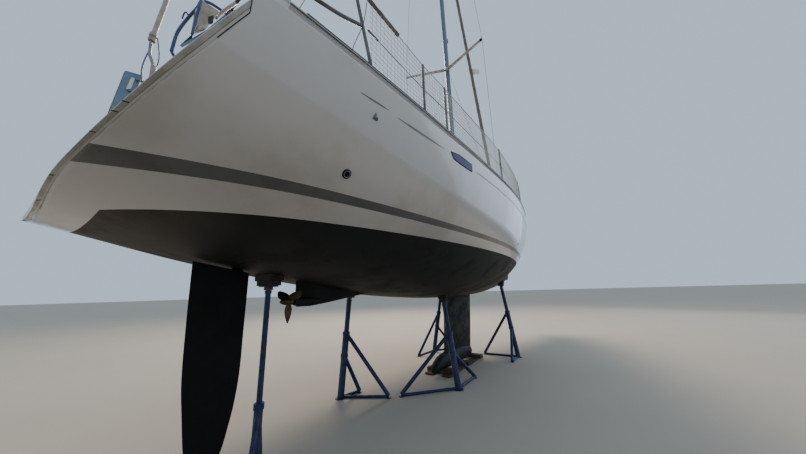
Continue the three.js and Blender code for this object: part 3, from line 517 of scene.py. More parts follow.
def turned(profile: list, centre: tuple | np.ndarray, axis: tuple | np.ndarray = UP, sides: int = 32,
           hollow: bool = False) -> Form:
    """Spins a profile: centre + s axis + r (cos a u + sin a v).

    Args:
        profile: pairs of radius r and distance s along the axis.
        centre: where s is zero.
        axis: direction of the axis.
        sides: faces round it.
        hollow: close the profile on itself, for a ring with a hole through it.

    Returns:
        A closed turned body.
    """
    shape = np.asarray([*profile, profile[0]] if hollow else profile, float)
    axis = unit(np.asarray(axis, float))
    u = unit(np.cross(axis, (0.3, 0.2, 1.0) if abs(axis[2]) < 0.9 else (1.0, 0.1, 0.0)))
    v = np.cross(axis, u)
    turn = np.arange(sides) / sides * 2 * math.pi
    ring = np.cos(turn)[:, None] * u + np.sin(turn)[:, None] * v
    grid = np.asarray(centre, float) + shape[:, 1][:, None, None] * axis + shape[:, 0][:, None, None] * ring
    return skin(grid, wrap=True, ends=not hollow)


def slab(outline: list | np.ndarray, low: float, high: float, upright: bool = False) -> Form:
    """Gives an outline a thickness.

    Args:
        outline: pairs (x, y), or (x, z) when upright.
        low: where the thickness starts, in z, or in y when upright.
        high: where it ends.
        upright: whether the outline is a side view.

    Returns:
        A closed slab.
    """
    shape = np.asarray(outline, float)
    levels = [np.insert(shape, 1 if upright else 2, level, axis=1) for level in (low, high)]
    return solid(np.stack(levels))


def block(low: tuple | np.ndarray, high: tuple | np.ndarray) -> Form:
    """Returns a block between two corners."""
    (x0, y0, z0), (x1, y1, z1) = low, high
    return slab([(x0, y0), (x1, y0), (x1, y1), (x0, y1)], z0, z1)


def read(table: np.ndarray, at: Reals, column: int) -> Reals:
    """Reads a column: Hermite cubic between rows, slopes (next - last) / (x next - x last).

    Args:
        table: rows that start with x.
        at: the x values to read at.
        column: which column.

    Returns:
        The column's values.
    """
    x, v = table[:, 0], table[:, column]
    last, after = np.maximum(np.arange(len(x)) - 1, 0), np.minimum(np.arange(len(x)) + 1, len(x) - 1)
    slope = (v[after] - v[last]) / (x[after] - x[last])
    i = np.clip(np.searchsorted(x, at, side="left") - 1, 0, len(x) - 2)
    span = x[i + 1] - x[i]
    t = (at - x[i]) / span
    p, q, m, n = v[i], v[i + 1], slope[i] * span, slope[i + 1] * span
    return p + t * m + t * t * (3 * (q - p) - 2 * m - n) + t ** 3 * (m + n - 2 * (q - p))


def strip(path: np.ndarray, section: list) -> Form:
    """Returns a closed bar along a path, its section given as pairs (y, z) off the path."""
    return solid(np.stack([path + (0, y, z) for y, z in section], 1))


@dataclass
class Lines:
    """The hull's lines: one row of sizes for each station along it."""

    stations: np.ndarray = field(default_factory=lambda: np.array([
        # x, half beam, sheer, bottom, section power in depth and in breadth
        [-0.4, 1.575, 1.245, 0.2, 2.9, 2.0], [0.1, 1.64, 1.24, 0.128, 2.9, 2.0],
        [1.275, 1.8, 1.23, -0.125, 2.7, 2.2], [3.3, 1.985, 1.23, -0.425, 2.9, 2.1],
        [4.8, 2.045, 1.255, -0.535, 2.85, 2.05], [6.0, 1.985, 1.29, -0.56, 2.7, 1.95],
        [7.3, 1.82, 1.34, -0.55, 2.4, 1.75], [8.7, 1.51, 1.4, -0.49, 2.05, 1.55],
        [10.2, 1.11, 1.465, -0.36, 1.7, 1.35], [11.35, 0.725, 1.52, -0.215, 1.4, 1.2],
        [12.15, 0.41, 1.56, -0.06, 1.25, 1.1], [12.6, 0.21, 1.585, 0.13, 1.15, 1.05],
        [12.9, 0.04, 1.605, 1.3, 1.0, 1.0]]))
    camber: float = 0.035
    rake: float = 0.49  # x for each z along the transom
    foot: float = -0.03  # x of the transom at the waterline, at its edges
    hollow: tuple[float, float] = (0.078, 0.5)  # how deep the transom curves in, and over what half width
    moulding: float = 0.048  # thickness of the transom moulding
    tuck: float = 0.045  # how far the transom's foot curves forward

    def beam(self, x: Reals) -> Reals:
        """Returns the half beam at x."""
        return read(self.stations, x, 1)

    def sheer(self, x: Reals) -> Reals:
        """Returns the height of the deck's edge at x."""
        return read(self.stations, x, 2)

    def bottom(self, x: Reals) -> Reals:
        """Returns the height of the hull's underside on the centreline at x."""
        return read(self.stations, x, 3)

    def deck(self, x: Reals, y: Reals) -> Reals:
        """Returns the deck's height: sheer + camber half (1 - (y / half)^2)."""
        half = self.beam(x)
        return self.sheer(x) + self.camber * half * (1 - (y / half) ** 2)

    def transom(self, y: Reals, z: Reals) -> Reals:
        """Returns the x of the transom's face: rake z + foot, with a hollow of deep max(0,
        1 - (y / wide)^2) above 0.28 m that fades out below, and a foot that curves forward.

        Args:
            y: distances off the centreline.
            z: heights.

        Returns:
            The x values.
        """
        deep, wide = self.hollow
        hollow = deep * np.clip(1 - (y / wide) ** 2, 0, None) * np.clip((z - 0.18) / 0.1, 0, 1)
        return self.rake * z + self.foot + hollow + self.tuck * np.clip((0.26 - z) / 0.125, 0, 1) ** 2

    def thick(self, z: Reals) -> Reals:
        """Returns the transom moulding's thickness at a height: half as thick at its foot."""
        return self.moulding * (0.5 + 0.5 * np.clip((z - 0.12) / 0.6, 0, 1))

    def rim(self, z: np.ndarray, out: Reals) -> tuple[np.ndarray, np.ndarray]:
        """Finds the section of the hull's side a distance forward of the transom's face, by halving.

        Args:
            z: heights.
            out: the distance at each height.

        Returns:
            The section's x and half breadth at each height.
        """
        near, far = np.zeros(np.broadcast(z, out).shape), np.full(np.broadcast(z, out).shape, 0.5)
        for _ in range(SPLITS):
            x = (near + far) / 2
            short = self.transom(self.side(x, z), z) + out > x
            near, far = np.where(short, x, near), np.where(short, far, x)
        return x, self.side(x, z)

    def side(self, x: Reals, z: Reals) -> Reals:
        """Returns the hull's half breadth: half (1 - u^m)^(1/k), u = (sheer - z) / (sheer - bottom)."""
        u = np.clip((self.sheer(x) - z) / (self.sheer(x) - self.bottom(x)), 0, 1)
        return self.beam(x) * (1 - u ** read(self.stations, x, 4)) ** (1 / read(self.stations, x, 5))

    def under(self, x: float, y: float) -> float:
        """Returns the height of the hull's underside at x and y, from the sections read upwards."""
        heights = np.linspace(self.bottom(x), 0.9, 4000)
        return float(heights[np.argmax(self.side(x, heights) >= abs(y))])

    def facing(self, x: np.ndarray, z: np.ndarray) -> np.ndarray:
        """Returns the outward direction of the port side, from its slopes in x and z.

        Args:
            x: places along the hull.
            z: heights.

        Returns:
            Vectors of length one.
        """
        step = 0.004
        dx = (self.side(x + step, z) - self.side(x - step, z)) / (2 * step)
        dz = (self.side(x, z + step) - self.side(x, z - step)) / (2 * step)
        return unit(np.stack([-dx, np.ones_like(dx), -dz], -1))

    def patch(self, x: Reals, z: Reals, out: float) -> np.ndarray:
        """Returns points a distance out from the port side at each x and z."""
        x, z = np.broadcast_arrays(np.asarray(x, float), np.asarray(z, float))
        return np.stack([x, self.side(x, z), z], -1) + out * self.facing(x, z)

    def plate(self, x: np.ndarray, z: np.ndarray, thick: float, sunk: float = 0.004) -> Form:
        """Returns a closed plate that follows the port side.

        Args:
            x: a grid of x values.
            z: the same grid of z values.
            thick: how far the plate stands out.
            sunk: how far it reaches into the side.

        Returns:
            The plate.
        """
        outer, inner = self.patch(x, z, thick), self.patch(x, z, -sunk)
        return solid(np.concatenate([outer, inner[:, ::-1]], 1))


# Making pieces


class Shipyard:
    """Makes pieces, dresses them and sets them on the model's bodies."""

    def __init__(self, frame: dict) -> None:
        """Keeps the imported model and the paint.
        """
        self.nodes: dict[str, bpy.types.Object] = frame["nodes"]
        self.paint = Paint()
        self.dressed: set[str] = set()

    def settle(self, piece: bpy.types.Object, coat: str, body: str, instead: tuple[str, ...]) -> None:
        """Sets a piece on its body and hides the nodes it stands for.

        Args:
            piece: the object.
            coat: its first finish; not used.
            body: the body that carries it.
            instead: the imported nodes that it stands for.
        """
        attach(piece, body)
        if instead:
            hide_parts(*instead)
            self.dressed.update(instead)

    def finish(self, name: str, mesh: bpy.types.Mesh, coats: tuple[str, ...], angle: float,
               edge: float) -> bpy.types.Object:
        """Turns a mesh into an object with its materials, smooth shading and round edges.

        Args:
            name: the object's name.
            mesh: its mesh.
            coats: its finishes.
            angle: sharpest angle, in degrees, that is shaded smooth.
            edge: width in millimetres of the round on its edges.

        Returns:
            The new object.
        """
        for coat in coats:
            mesh.materials.append(self.paint.material(coat))
        mesh.polygons.foreach_set("use_smooth", np.ones(len(mesh.polygons), bool))
        mesh.set_sharp_from_angle(angle=math.radians(angle))
        piece = bpy.data.objects.new(name, mesh)
        bpy.context.scene.collection.objects.link(piece)
        if edge:
            bevel = piece.modifiers.new("edge", "BEVEL")
            bevel.width, bevel.segments = edge / 1000.0, 2
            bevel.limit_method, bevel.angle_limit = "ANGLE", math.radians(40)
            bevel.use_clamp_overlap = bevel.harden_normals = True
        LOG.info("%s: %d points", name, len(mesh.vertices))
        return piece

    def make(self, name: str, form: Form, *coats: str, body: str = "yacht",
             instead: tuple[str, ...] = (), edge: float = 0.0, wall: float = 0.0,
             angle: float = 38.0) -> None:
        """Makes a piece from a form.

        Args:
            name: the piece's name.
            form: its points and faces in boat coordinates.
            coats: its finishes, by the numbers on its faces.
            body: the body that carries it.
            instead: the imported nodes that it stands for.
            edge: width in millimetres of the round on its edges.
            wall: thickness that an open surface gets, inwards.
            angle: sharpest angle, in degrees, that is shaded smooth.
        """
        mesh = bpy.data.meshes.new(name)
        mesh.from_pydata((form.points + LIFT).tolist(), [], form.faces)
        if form.coats:
            mesh.polygons.foreach_set("material_index", np.array(form.coats, np.int32))
        shape = bmesh.new()
        shape.from_mesh(mesh)
        bmesh.ops.remove_doubles(shape, verts=shape.verts, dist=2e-5)
        bmesh.ops.dissolve_degenerate(shape, edges=shape.edges, dist=1e-5)
        bmesh.ops.recalc_face_normals(shape, faces=shape.faces)
        shape.to_mesh(mesh)
        shape.free()
        piece = self.finish(name, mesh, coats, angle, edge)
        if wall:
            thick = piece.modifiers.new("wall", "SOLIDIFY")
            thick.thickness, thick.offset = wall, -1.0
        self.settle(piece, coats[0], body, instead)

    def refine(self, node: str, coat: str, edge: float = 4.0, body: str = "yacht") -> None:
        """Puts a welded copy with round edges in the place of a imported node.

        Args:
            node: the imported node.
            coat: its finish.
            edge: width in millimetres of the round on its edges.
            body: the body that carries it.
        """
        mesh = self.nodes[node].data.copy()
        mesh.materials.clear()
        shape = bmesh.new()
        shape.from_mesh(mesh)
        bmesh.ops.remove_doubles(shape, verts=shape.verts, dist=5e-5)
        bmesh.ops.dissolve_limit(shape, angle_limit=math.radians(0.6), verts=shape.verts,
                                 edges=shape.edges)
        shape.to_mesh(mesh)
        shape.free()
        self.settle(self.finish(f"{node}_dressed", mesh, (coat,), 32.0, edge), coat, body, (node,))

    def top(self, node: str, x: Reals, y: Reals) -> np.ndarray:
        """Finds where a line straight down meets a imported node.

        Args:
            node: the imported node.
            x: boat coordinates of the lines.
            y: the same.

        Returns:
            The meeting points in boat coordinates.
        """
        mesh = self.nodes[node].data
        tree = BVHTree.FromPolygons([v.co for v in mesh.vertices], [p.vertices for p in mesh.polygons])
        x, y = np.broadcast_arrays(np.asarray(x, float), np.asarray(y, float))
        starts = np.stack([x, y, np.full(x.shape, 4.0)], -1).reshape(-1, 3) + LIFT
        found = [tree.ray_cast(Vector(p), Vector((0, 0, -1)))[0] for p in starts]
        return np.array([tuple(p) for p in found]).reshape(*x.shape, 3) - LIFT


# Sub-assemblies


@dataclass
class Hull:
    """The moulded hull with its stripe, bottom paint, cove lines and side fittings."""

    yard: Shipyard
    lines: Lines
    stripe: tuple[float, float] = (0.305, 0.25)  # heights of its edges, aft
    topside_rows: int = 16
    band_rows: tuple[int, int] = (4, 8)  # on the stripe and below it
    bottom_rows: int = 30
    columns: int = 170
    stern_columns: int = 8
    paint_end: float = 0.31  # where the bottom paint stops, aft
    wall: float = 0.03
    edge: float = 0.03  # the shell's top edge below the sheer line

    def paint_line(self, x: np.ndarray) -> np.ndarray:
        """Returns the height of the bottom paint's edge: a line that rises forward."""
        return np.maximum(0.118 + 0.0075 * x, self.lines.bottom(x) + 0.001)

    def rows(self, x: np.ndarray) -> tuple[list[np.ndarray], list[int]]:
        """Returns the height of each row of points at x, from the sheer down to the centreline.

        Args:
            x: the columns' x values, one for each row and column.

        Returns:
            Heights row by row, and the finish number below each row.
        """
        lines = self.lines
        sheer, bottom = lines.sheer(x), lines.bottom(x)
        lift = 0.004 * np.clip(x - 3.0, 0, None)
        bands = [sheer - self.edge, self.stripe[0] + lift, self.stripe[1] + lift, self.paint_line(x)]
        steps = [self.topside_rows, *self.band_rows]
        heights, coats = [], []
        for number, count in enumerate(steps):
            for part in np.arange(count) / count:
                heights.append(bands[number] * (1 - part) + bands[number + 1] * part)
                coats.append(1 if number == 1 else 0)
        power = read(lines.stations, x, 4)
        deep = np.clip((sheer - bands[3]) / (sheer - bottom), 0, 1)
        start = np.arcsin(np.clip(deep ** (power / 2), 0, 1))
        for part in np.arange(self.bottom_rows + 1) / self.bottom_rows:
            turn = start + (math.pi / 2 - start) * part
            heights.append(sheer - (sheer - bottom) * np.sin(turn) ** (2 / power))
            coats.append(2)
        return [np.maximum(h, bottom) for h in heights], coats

    def build(self) -> None:
        """Makes the shell and everything on it."""
        lines = self.lines
        place = np.linspace(0, 1, self.columns - self.stern_columns)
        spread = 0.6 * place + 0.4 * np.sin(place * math.pi / 2)  # closer together at the bow
        aft = np.arange(self.stern_columns) / self.stern_columns
        count = self.topside_rows + sum(self.band_rows) + self.bottom_rows + 1
        near, far = np.zeros(count), np.full(count, 0.5)
        for _ in range(SPLITS):  # halves the span in which each row meets the transom moulding
            foot = (near + far) / 2
            level = np.stack(self.rows(foot)[0]).diagonal()
            short = lines.transom(lines.side(foot, level), level) + lines.thick(level) + GAP > foot
            near, far = np.where(short, foot, near), np.where(short, far, foot)
        foot, bow = foot[:, None], lines.stations[-1, 0]
        mark = np.maximum(self.paint_end, foot + 0.1)
        x = np.hstack([foot + (mark - foot) * aft, mark + (bow - mark) * spread])
        heights = np.stack([self.rows(x[i])[0][i] for i in range(count)])
        y = lines.side(x, heights)
        y[-1] = 0.0
        grid = np.stack([x, y, heights], -1)
        stem = grid[:, -1:] * (1, 0, 1) + (0.02, 0, 0)
        port = np.concatenate([grid, stem], 1)
        form = skin(np.concatenate([port, port[-2::-1] * MIRROR]))
        coats = self.rows(x[0])[1][:count - 1]
        numbers = np.repeat(np.array(coats + coats[::-1])[:, None], port.shape[1] - 1, axis=1)
        numbers[:, :self.stern_columns][numbers[:, :self.stern_columns] == 2] = 0
        form.coats = numbers.ravel().tolist()
        self.yard.make("hull_shell", form, "gelcoat_topsides", "stripe_paint", "antifouling",
                       instead=("hull",), wall=self.wall, angle=50)
        self.coves()
        self.fittings()

    def band(self, start: float, end: float, low: list, high: list, columns: int = 40) -> Form:
        """Returns a thin plate on the port side between two heights that vary along it.

        Args:
            start: x of its aft end.
            end: x of its forward end.
            low: heights of its lower edge, evenly spaced.
            high: heights of its upper edge.
            columns: points along it.

        Returns:
            The plate.
        """
        part = np.linspace(0, 1, columns)
        lower = np.interp(part, np.linspace(0, 1, len(low)), low)
        upper = np.interp(part, np.linspace(0, 1, len(high)), high)
        x = np.tile(start + (end - start) * part, (4, 1)).T
        z = lower[:, None] + (upper - lower)[:, None] * np.linspace(0, 1, 4)
        return self.lines.plate(x, z, 0.0012)

    def coves(self) -> None:
        """Makes the thin lines along the topsides; the two short ones taper at their ends."""
        long_low = [0.976, 0.986, 0.985, 0.99, 1.0, 1.02, 1.05, 1.09, 1.14, 1.19]
        for name, side in SIDES.items():
            parts = [
                self.band(1.225, 1.52, [0.95, 0.946, 0.952, 0.962], [0.952, 0.961, 0.967, 0.963]),
                self.band(1.62, 2.345, [0.95, 0.945, 0.95, 0.958, 0.972],
                          [0.953, 0.966, 0.971, 0.976, 0.975]),
                self.band(3.12, 12.2, [v - 0.002 for v in long_low], [v + 0.015 for v in long_low], 120),
            ]
            self.yard.make(f"cove_lines_{name}", group(*parts).on(side), "cove_tape")

    def fittings(self) -> None:
        """Makes the long side windows, the vents and the outlets."""
        lines = self.lines
        part = np.linspace(0, 1, 28)
        lower = 0.937 + 0.012 * (2 * part - 1) ** 4 + 0.05 * np.clip(0.12 - part, 0, None) / 0.12
        upper = 1.028 - 0.036 * np.clip(0.4 - part, 0, None) / 0.4
        centre = lines.patch(1.381, 0.843, 0.0)
        cowl = np.array([[0.0, 0.034], [-0.024, -0.022], [0.026, -0.022]])
        scale, out = np.array([[1.0, 1.0, 0.55], [-0.006, 0.006, 0.02]])[..., None]
        vent = loft(centre[0] + cowl[:, 0] * scale, centre[1] + out, centre[2] + cowl[:, 1] * scale)
        for name, side in SIDES.items():
            # a dark seal round each pane, then the pane, its blue a painted sky reflection
            for grow, thick, coat in ((0.009, 0.003, "rubber_seal_and_hole_shade"), (0.0, 0.005, "port_glass_painted_sky")):
                x = np.tile(2.475 - grow + (0.5 + 2 * grow) * part, (5, 1)).T
                z = (lower - grow)[:, None] + (upper - lower + 2 * grow)[:, None] * np.linspace(0, 1, 5)
                pane = lines.plate(x, z, thick)
                self.yard.make(f"hull_window_{coat}_{name}", pane.on(side), coat, edge=1)
            self.outlet(f"exhaust_outlet_{name}", 1.304, 0.418, 0.036, side)
            self.outlet(f"drain_outlet_{name}", 5.53, 0.41, 0.014, side)
            self.yard.make(f"vent_cowl_{name}", vent.on(side), "anodised_trim", edge=3)

    def outlet(self, name: str, x: float, z: float, radius: float, side: float) -> None:
        """Makes a flanged outlet: a ring on the side, a near-black disc of painted shade where its hole is,
        and a lip round that.

        Args:
            name: what its pieces' names start with.
            x: its place along the hull.
            z: its height.
            radius: the flange's radius.
            side: 1 for port, -1 for starboard.
        """
        centre, facing = self.lines.patch(x, z, 0.0), self.lines.facing(x, z)
        flange = [(radius * 0.58, -0.006), (radius * 0.58, 0.004), (radius * 0.66, 0.008),
                  (radius * 0.9, 0.007), (radius, 0.003), (radius, -0.006)]
        # a near-black disc where the hole is: painted shade
        bore = [(0.0005, 0.0012), (radius * 0.57, 0.001), (radius * 0.57, -0.006), (0.0005, -0.006)]
        lip = [(radius * 0.58, 0.002), (radius * 0.58, 0.0075), (radius * 0.68, 0.0095),
               (radius * 0.74, 0.008)]
        metal = "galvanised_steel" if radius < 0.03 else "rubber_seal_and_hole_shade"
        for part, profile, coat in (("flange", flange, metal), ("bore", bore, "rubber_seal_and_hole_shade"),
                                    ("lip", lip, "anodised_trim")):
            form = turned(profile, centre, facing, 28, hollow=part != "bore")
            self.yard.make(f"{name}_{part}", form.on(side), coat)


@dataclass
class Underbody:
    """Keel, bulb, rudder, skeg and propeller."""

    yard: Shipyard
    lines: Lines
    outline: np.ndarray = field(default_factory=lambda: np.array([
        # distance aft of the leading edge, part of the full thickness
        [0, 0], [0.015, 0.32], [0.05, 0.58], [0.1, 0.78], [0.18, 0.93], [0.3, 1], [0.45, 0.9],
        [0.6, 0.72], [0.75, 0.48], [0.88, 0.25], [1, 0.05]]))
    bed: float = -2.0297  # top of the blocking

    def foil(self, levels: list, rows: int, top: float | None = None) -> Form:
        """Lofts an aerofoil: x = lead - s chord, y = half thick f(s), z by level.

        Args:
            levels: height, leading edge, chord and thickness, from the lowest level up.
            rows: levels to draw between those.
            top: where given, how far above the hull's underside its top row ends.

        Returns:
            The closed fin.
        """
        table = np.array(levels, float)
        z = np.linspace(table[0, 0], table[-1, 0], rows)
        lead, chord, thick = (read(table, z, c) for c in (1, 2, 3))
        place = (1 - np.cos(np.linspace(0, math.pi, 26))) / 2
        part = np.clip(read(self.outline, place, 1), 0.0, None)
        part[0] = 0.0
        place, part = np.concatenate([place, place[-2:0:-1]]), np.concatenate([part, -part[-2:0:-1]])
        x = lead[:, None] - place * chord[:, None]
        heights = z[:, None]
        if top is not None:
            share = (heights - z[0]) / (z[-1] - z[0])
            heights = z[0] + share * (self.lines.bottom(x) + top - z[0])
        return loft(x, part * thick[:, None] / 2, heights)

    def build(self) -> None:
        """Makes each piece below the hull."""
        yard = self.yard
        bulb = np.array([  # x, half breadth, height
            [5.4, 0.03, 0.055], [5.44, 0.066, 0.105], [5.52, 0.092, 0.155], [5.62, 0.108, 0.205],
            [5.75, 0.12, 0.255], [5.95, 0.13, 0.285], [6.4, 0.14, 0.3], [6.9, 0.138, 0.29],
            [7.25, 0.118, 0.255], [7.44, 0.088, 0.205], [7.55, 0.05, 0.135], [7.6, 0.018, 0.06]])
        x = 5.4 + 2.2 * (1 - np.cos(np.linspace(0, math.pi, 90))) / 2
        half, high = read(bulb, x, 1)[:, None], read(bulb, x, 2)[:, None]
        turn = angles(40)
        rise = (np.maximum(np.sin(turn), -0.75) + 0.75) / 1.75  # flat below
        yard.make("bulb", loft(x[:, None], half * np.cos(turn), self.bed + high * rise), "antifouling",
                  instead=("keel_bulb",))
        fin = self.foil([[-1.86, 7.552, 1.6, 0.152], [-1.1, 7.69, 1.64, 0.17], [-0.4, 7.79, 1.69, 0.19]],
                        30, 0.012)
        yard.make("fin", fin, "keel_antifouling", instead=("keel_fin",))
        self.rudder()
        skeg = self.foil([[-0.553, 2.3, 0.2, 0.07], [-0.547, 2.38, 0.28, 0.078], [-0.516, 2.62, 0.53, 0.087],
                          [-0.459, 2.9, 0.82, 0.095], [-0.384, 3.16, 1.08, 0.1], [-0.3, 3.38, 1.3, 0.11]],
                         22, 0.012)
        boss = turned([(0.018, 0.0), (0.04, 0.002), (0.05, 0.02), (0.052, 0.2), (0.04, 0.36), (0.001, 0.4)],
                      (2.058, 0, SHAFT[2]), ALONG)
        yard.make("skeg_moulding", group(skeg, boss), "antifouling", instead=("skeg",))
        self.propeller()

    def rudder(self) -> None:
        """Makes the rudder blade with its stock."""
        blade = self.foil([
            [-1.78, 1.4, 0.25, 0.03], [-1.7, 1.43, 0.29, 0.044], [-1.56, 1.46, 0.345, 0.056],
            [-1.4, 1.49, 0.4, 0.066], [-1.12, 1.515, 0.465, 0.08], [-0.7, 1.515, 0.49, 0.09],
            [-0.166, 1.515, 0.51, 0.094]], 60, -0.024)
        stock = turned([(0.045, -0.4), (0.045, 0.48), (0.04, 0.483)], (STOCK_X, 0, 0))
        collar = turned([(0.046, -0.172), (0.06, -0.17), (0.06, -0.163), (0.046, -0.161)], (STOCK_X, 0, 0))
        self.yard.make("rudder_blade", group(blade, stock, collar), "rudder_antifouling", body="rudder",
                       instead=("rudder",))

    def propeller(self) -> None:
        """Makes the three twisted blades on their hub: each section is turned by its pitch."""
        root, tip = 0.026, 0.238
        out = np.linspace(root, tip, 16)[:, None]
        share = (out - root) / (tip - root)
        pitch = 0.2 * share - 1.33
        a = (0.058 + 0.072 * np.sin(math.pi * share ** 0.8) - 0.032 * share ** 3) / 2 * np.cos(angles(18))
        b = (0.014 - 0.011 * share) / 2 * np.sin(angles(18))
        grid = np.stack([a * np.sin(pitch) + b * np.cos(pitch), a * np.cos(pitch) - b * np.sin(pitch),
                         np.broadcast_to(out, a.shape)], -1)
        blades = []
        for turn in np.radians((60, 180, 300)):
            c, s = math.cos(turn), math.sin(turn)
            blades.append(solid(grid @ np.array([[1, 0, 0], [0, c, s], [0, -s, c]]) + SHAFT))
        hub = turned([(0.016, 0.2), (0.016, 0.05), (0.034, 0.048), (0.038, 0.04), (0.038, -0.04),
                      (0.036, -0.05), (0.03, -0.075), (0.014, -0.108), (0.001, -0.11)], SHAFT, ALONG)
        self.yard.make("propeller_casting", group(*blades, hub), "bronze", body="propeller",
                       instead=("propeller",), angle=50)


@dataclass
class Stern:
    """The transom moulding, the well behind it, and the gear at the stern."""

    yard: Shipyard
    lines: Lines
    half: float = 0.52  # half width of the way through
    foot: float = 0.131  # lower edge of the moulding
    floor: float = 0.32  # floor of the way through
    top: float = 1.2045  # top of the moulding
    step: float = 0.656  # x of the step's door
    seam: float = 0.0022  # radius of the sealed joints
    hinge: tuple[float, float] = (0.135, 0.339)  # x and z of the swimming ladder's hinge

    def build(self) -> None:
        """Makes the stern."""
        self.face()
        self.well()
        self.joints()
        self.ladder()
        self.pole()
        self.panel()
        self.box()

    def ring(self, z: np.ndarray, inner: float | None) -> Form:
        """Makes the moulding over a span of heights: its edge is rounded, and a groove runs round
        the side behind the coping.

        Args:
            z: heights.
            inner: where the section starts on the port side, or None for its full width.

        Returns:
            The moulding, with the coping as its second finish.
        """
        skirt = np.array([  # distance in from the side, part of the thickness forward of the face
            [0.034, 0.0], [0.03, 0.03], [0.014, 0.03], [0.004, 0.115], [0.0, 0.3], [0.0, 0.635],
            [0.003, 0.65], [0.003, 0.705], [0.0, 0.72], [0.0, 0.996]])
        thick = self.lines.thick(z)
        width = np.stack([self.lines.rim(z, part * thick)[1] for part in skirt[:, 1]], 1)
        side = np.maximum(width - skirt[:, 0], 0.0)
        coats = [0] + [1] * 6 + [0] * 3
        if inner is None:
            across = np.linspace(-1, 1, 42)[None, 1:-1] * side[:, :1]
            y = np.hstack([across, side, across[:, ::-1], -side[:, ::-1]])
            out = np.concatenate([np.zeros(40), skirt[:, 1], np.full(40, 0.996), skirt[::-1, 1]])
            coats = [0] * 40 + coats + [0] * 43 + [1] * 6 + [0]
        else:
            across = inner + (side[:, :1] - inner) * np.linspace(0, 1, 10)[:-1]
            near = np.full((len(z), 2), inner)
            y = np.hstack([near, across[:, 1:], side, near[:, :1]])
            out = np.concatenate([[0.25, 0.08], np.zeros(8), skirt[:, 1], [0.996]])
            coats = [0] * 10 + coats + [0]
        high = z[:, None]
        form = loft(self.lines.transom(y, high) + out * thick[:, None], y, high)
        form.coats = coats * (len(z) - 1) + [0, 0]
        return form

    def face(self) -> None:
        """Makes the transom moulding: a sill below the way through it and a wing on each side."""
        coats = ("gelcoat_transom", "gelcoat_coping")
        low = self.foot + (self.floor - self.foot) * np.linspace(0, 1, 26) ** 1.8
        self.yard.make("transom_sill", self.ring(low, None), *coats, instead=("transom_moulding",), angle=30)
        wing = self.ring(np.linspace(self.floor + GAP, self.top, 50), self.half + GAP)
        for name, side in SIDES.items():
            self.yard.make(f"transom_wing_{name}", wing.on(side), *coats, angle=30)

    def well(self) -> None:
        """Makes the moulded floor and sides of the way through the transom, a rounded U in section."""
        half, floor, step = self.half, self.floor, self.step
        section = rounded([(-half, 1.27), (-half, floor), (half, floor), (half, 1.27)], 0.06, 8)
        y, z = section.T
        aft = self.lines.transom(y, z) + 0.012
        x = aft + (0.775 - aft) * np.linspace(0, 1, 14)[:, None]
        well = skin(np.stack(np.broadcast_arrays(x, y, z), -1))
        treads = [block((0.26, y0, floor + 0.001), (0.645, y0 + 0.05, floor + 0.004))
                  for y0 in np.arange(-0.44, 0.4, 0.062) if abs(y0 + 0.025 - 0.3) > 0.11]
        riser = block((step, -half + 0.004, floor + 0.001), (0.669, half - 0.004, 0.5))
        door = block((0.6515, -0.36, floor + 0.03), (step, 0.36, 0.478))
        cap = turned([(0.001, 0.0003), (0.078, 0.0003), (0.078, 0.004), (0.07, 0.008), (0.03, 0.008),
                      (0.026, 0.004), (0.001, 0.004)], (STOCK_X, 0.0, 0.55), sides=40)
        self.yard.make("stern_well", well, "gelcoat_deck", wall=-0.012)
        self.yard.make("platform_treads", group(*treads), "teak", edge=1)
        self.yard.make("step_riser", riser, "gelcoat_deck")
        self.yard.make("step_locker_door", door, "gelcoat_transom", edge=2)
        self.yard.make("stock_cap", cap, "black_moulding_and_shade")

    def joints(self) -> None:
        """Makes the dark sealed joints: short ones across the coping, and one up the hull's edge."""
        lines = self.lines
        high = np.linspace(0.78, 1.19, 40)
        marks = [pipe(np.stack([*lines.rim(high, lines.thick(high)), high], -1), self.seam, 6)]
        for level in (0.15, 0.21, 0.337, 0.406, 0.441):
            out, high = np.linspace(0.06, 0.63, 6) * lines.thick(level), np.full(6, level)
            x, y = lines.rim(high, out)
            marks.append(pipe(np.stack([x, y + 0.0006, high], -1), self.seam, 6))
        for name, side in SIDES.items():
            self.yard.make(f"transom_joints_{name}", group(*marks).on(side), "rubber_seal_and_hole_shade")

    def ladder(self) -> None:
        """Makes the folded swimming ladder: two rails with flat treads, and the lugs of its hinge."""
        (hinge, z), front, half, tube = self.hinge, 0.63, 0.18, 0.0128
        rungs = {name: hinge + part * (front - hinge) for part, name in ((0.35, "low"), (0.67, "high"))}
        loop = rounded([(hinge, -half, z), (front, -half, z), (front, half, z), (hinge, half, z)], 0.045, 8)
        bars = [(hinge, half + 0.022)] + [(x, half) for x in rungs.values()]
        parts = [pipe(loop, tube, 14), *(pipe([(x, -wide, z), (x, wide, z)], tube, 14) for x, wide in bars)]
        self.yard.make("ladder_tubes", group(*parts), "stainless_tube", body="swim_ladder",
                       instead=("swim_ladder",))
        plate = closed([(0.175, 0.236), (0.238, 0.236), (0.238, 0.322), (0.16, 0.357), (0.114, 0.357),
                        (0.114, 0.318)], 0.016)
        lugs = []
        for side in SIDES.values():
            y = side * 0.212
            lugs += [slab(plate, y - 0.008, y + 0.008, upright=True),
                     turned([(0.011, 0.0), (0.011, 0.004), (0.007, 0.006)], (hinge, y + side * 0.008, z),
                            (0, side, 0), 20)]
        self.yard.make("ladder_lugs", group(*lugs), "stainless_tube", edge=1)
        for name, x in rungs.items():
            tread = block((x - 0.03, -half + 0.02, z + 0.006), (x + 0.03, half - 0.02, z + 0.02))
            self.yard.make(f"ladder_tread_{name}", tread, "teak", body="swim_ladder", edge=4)

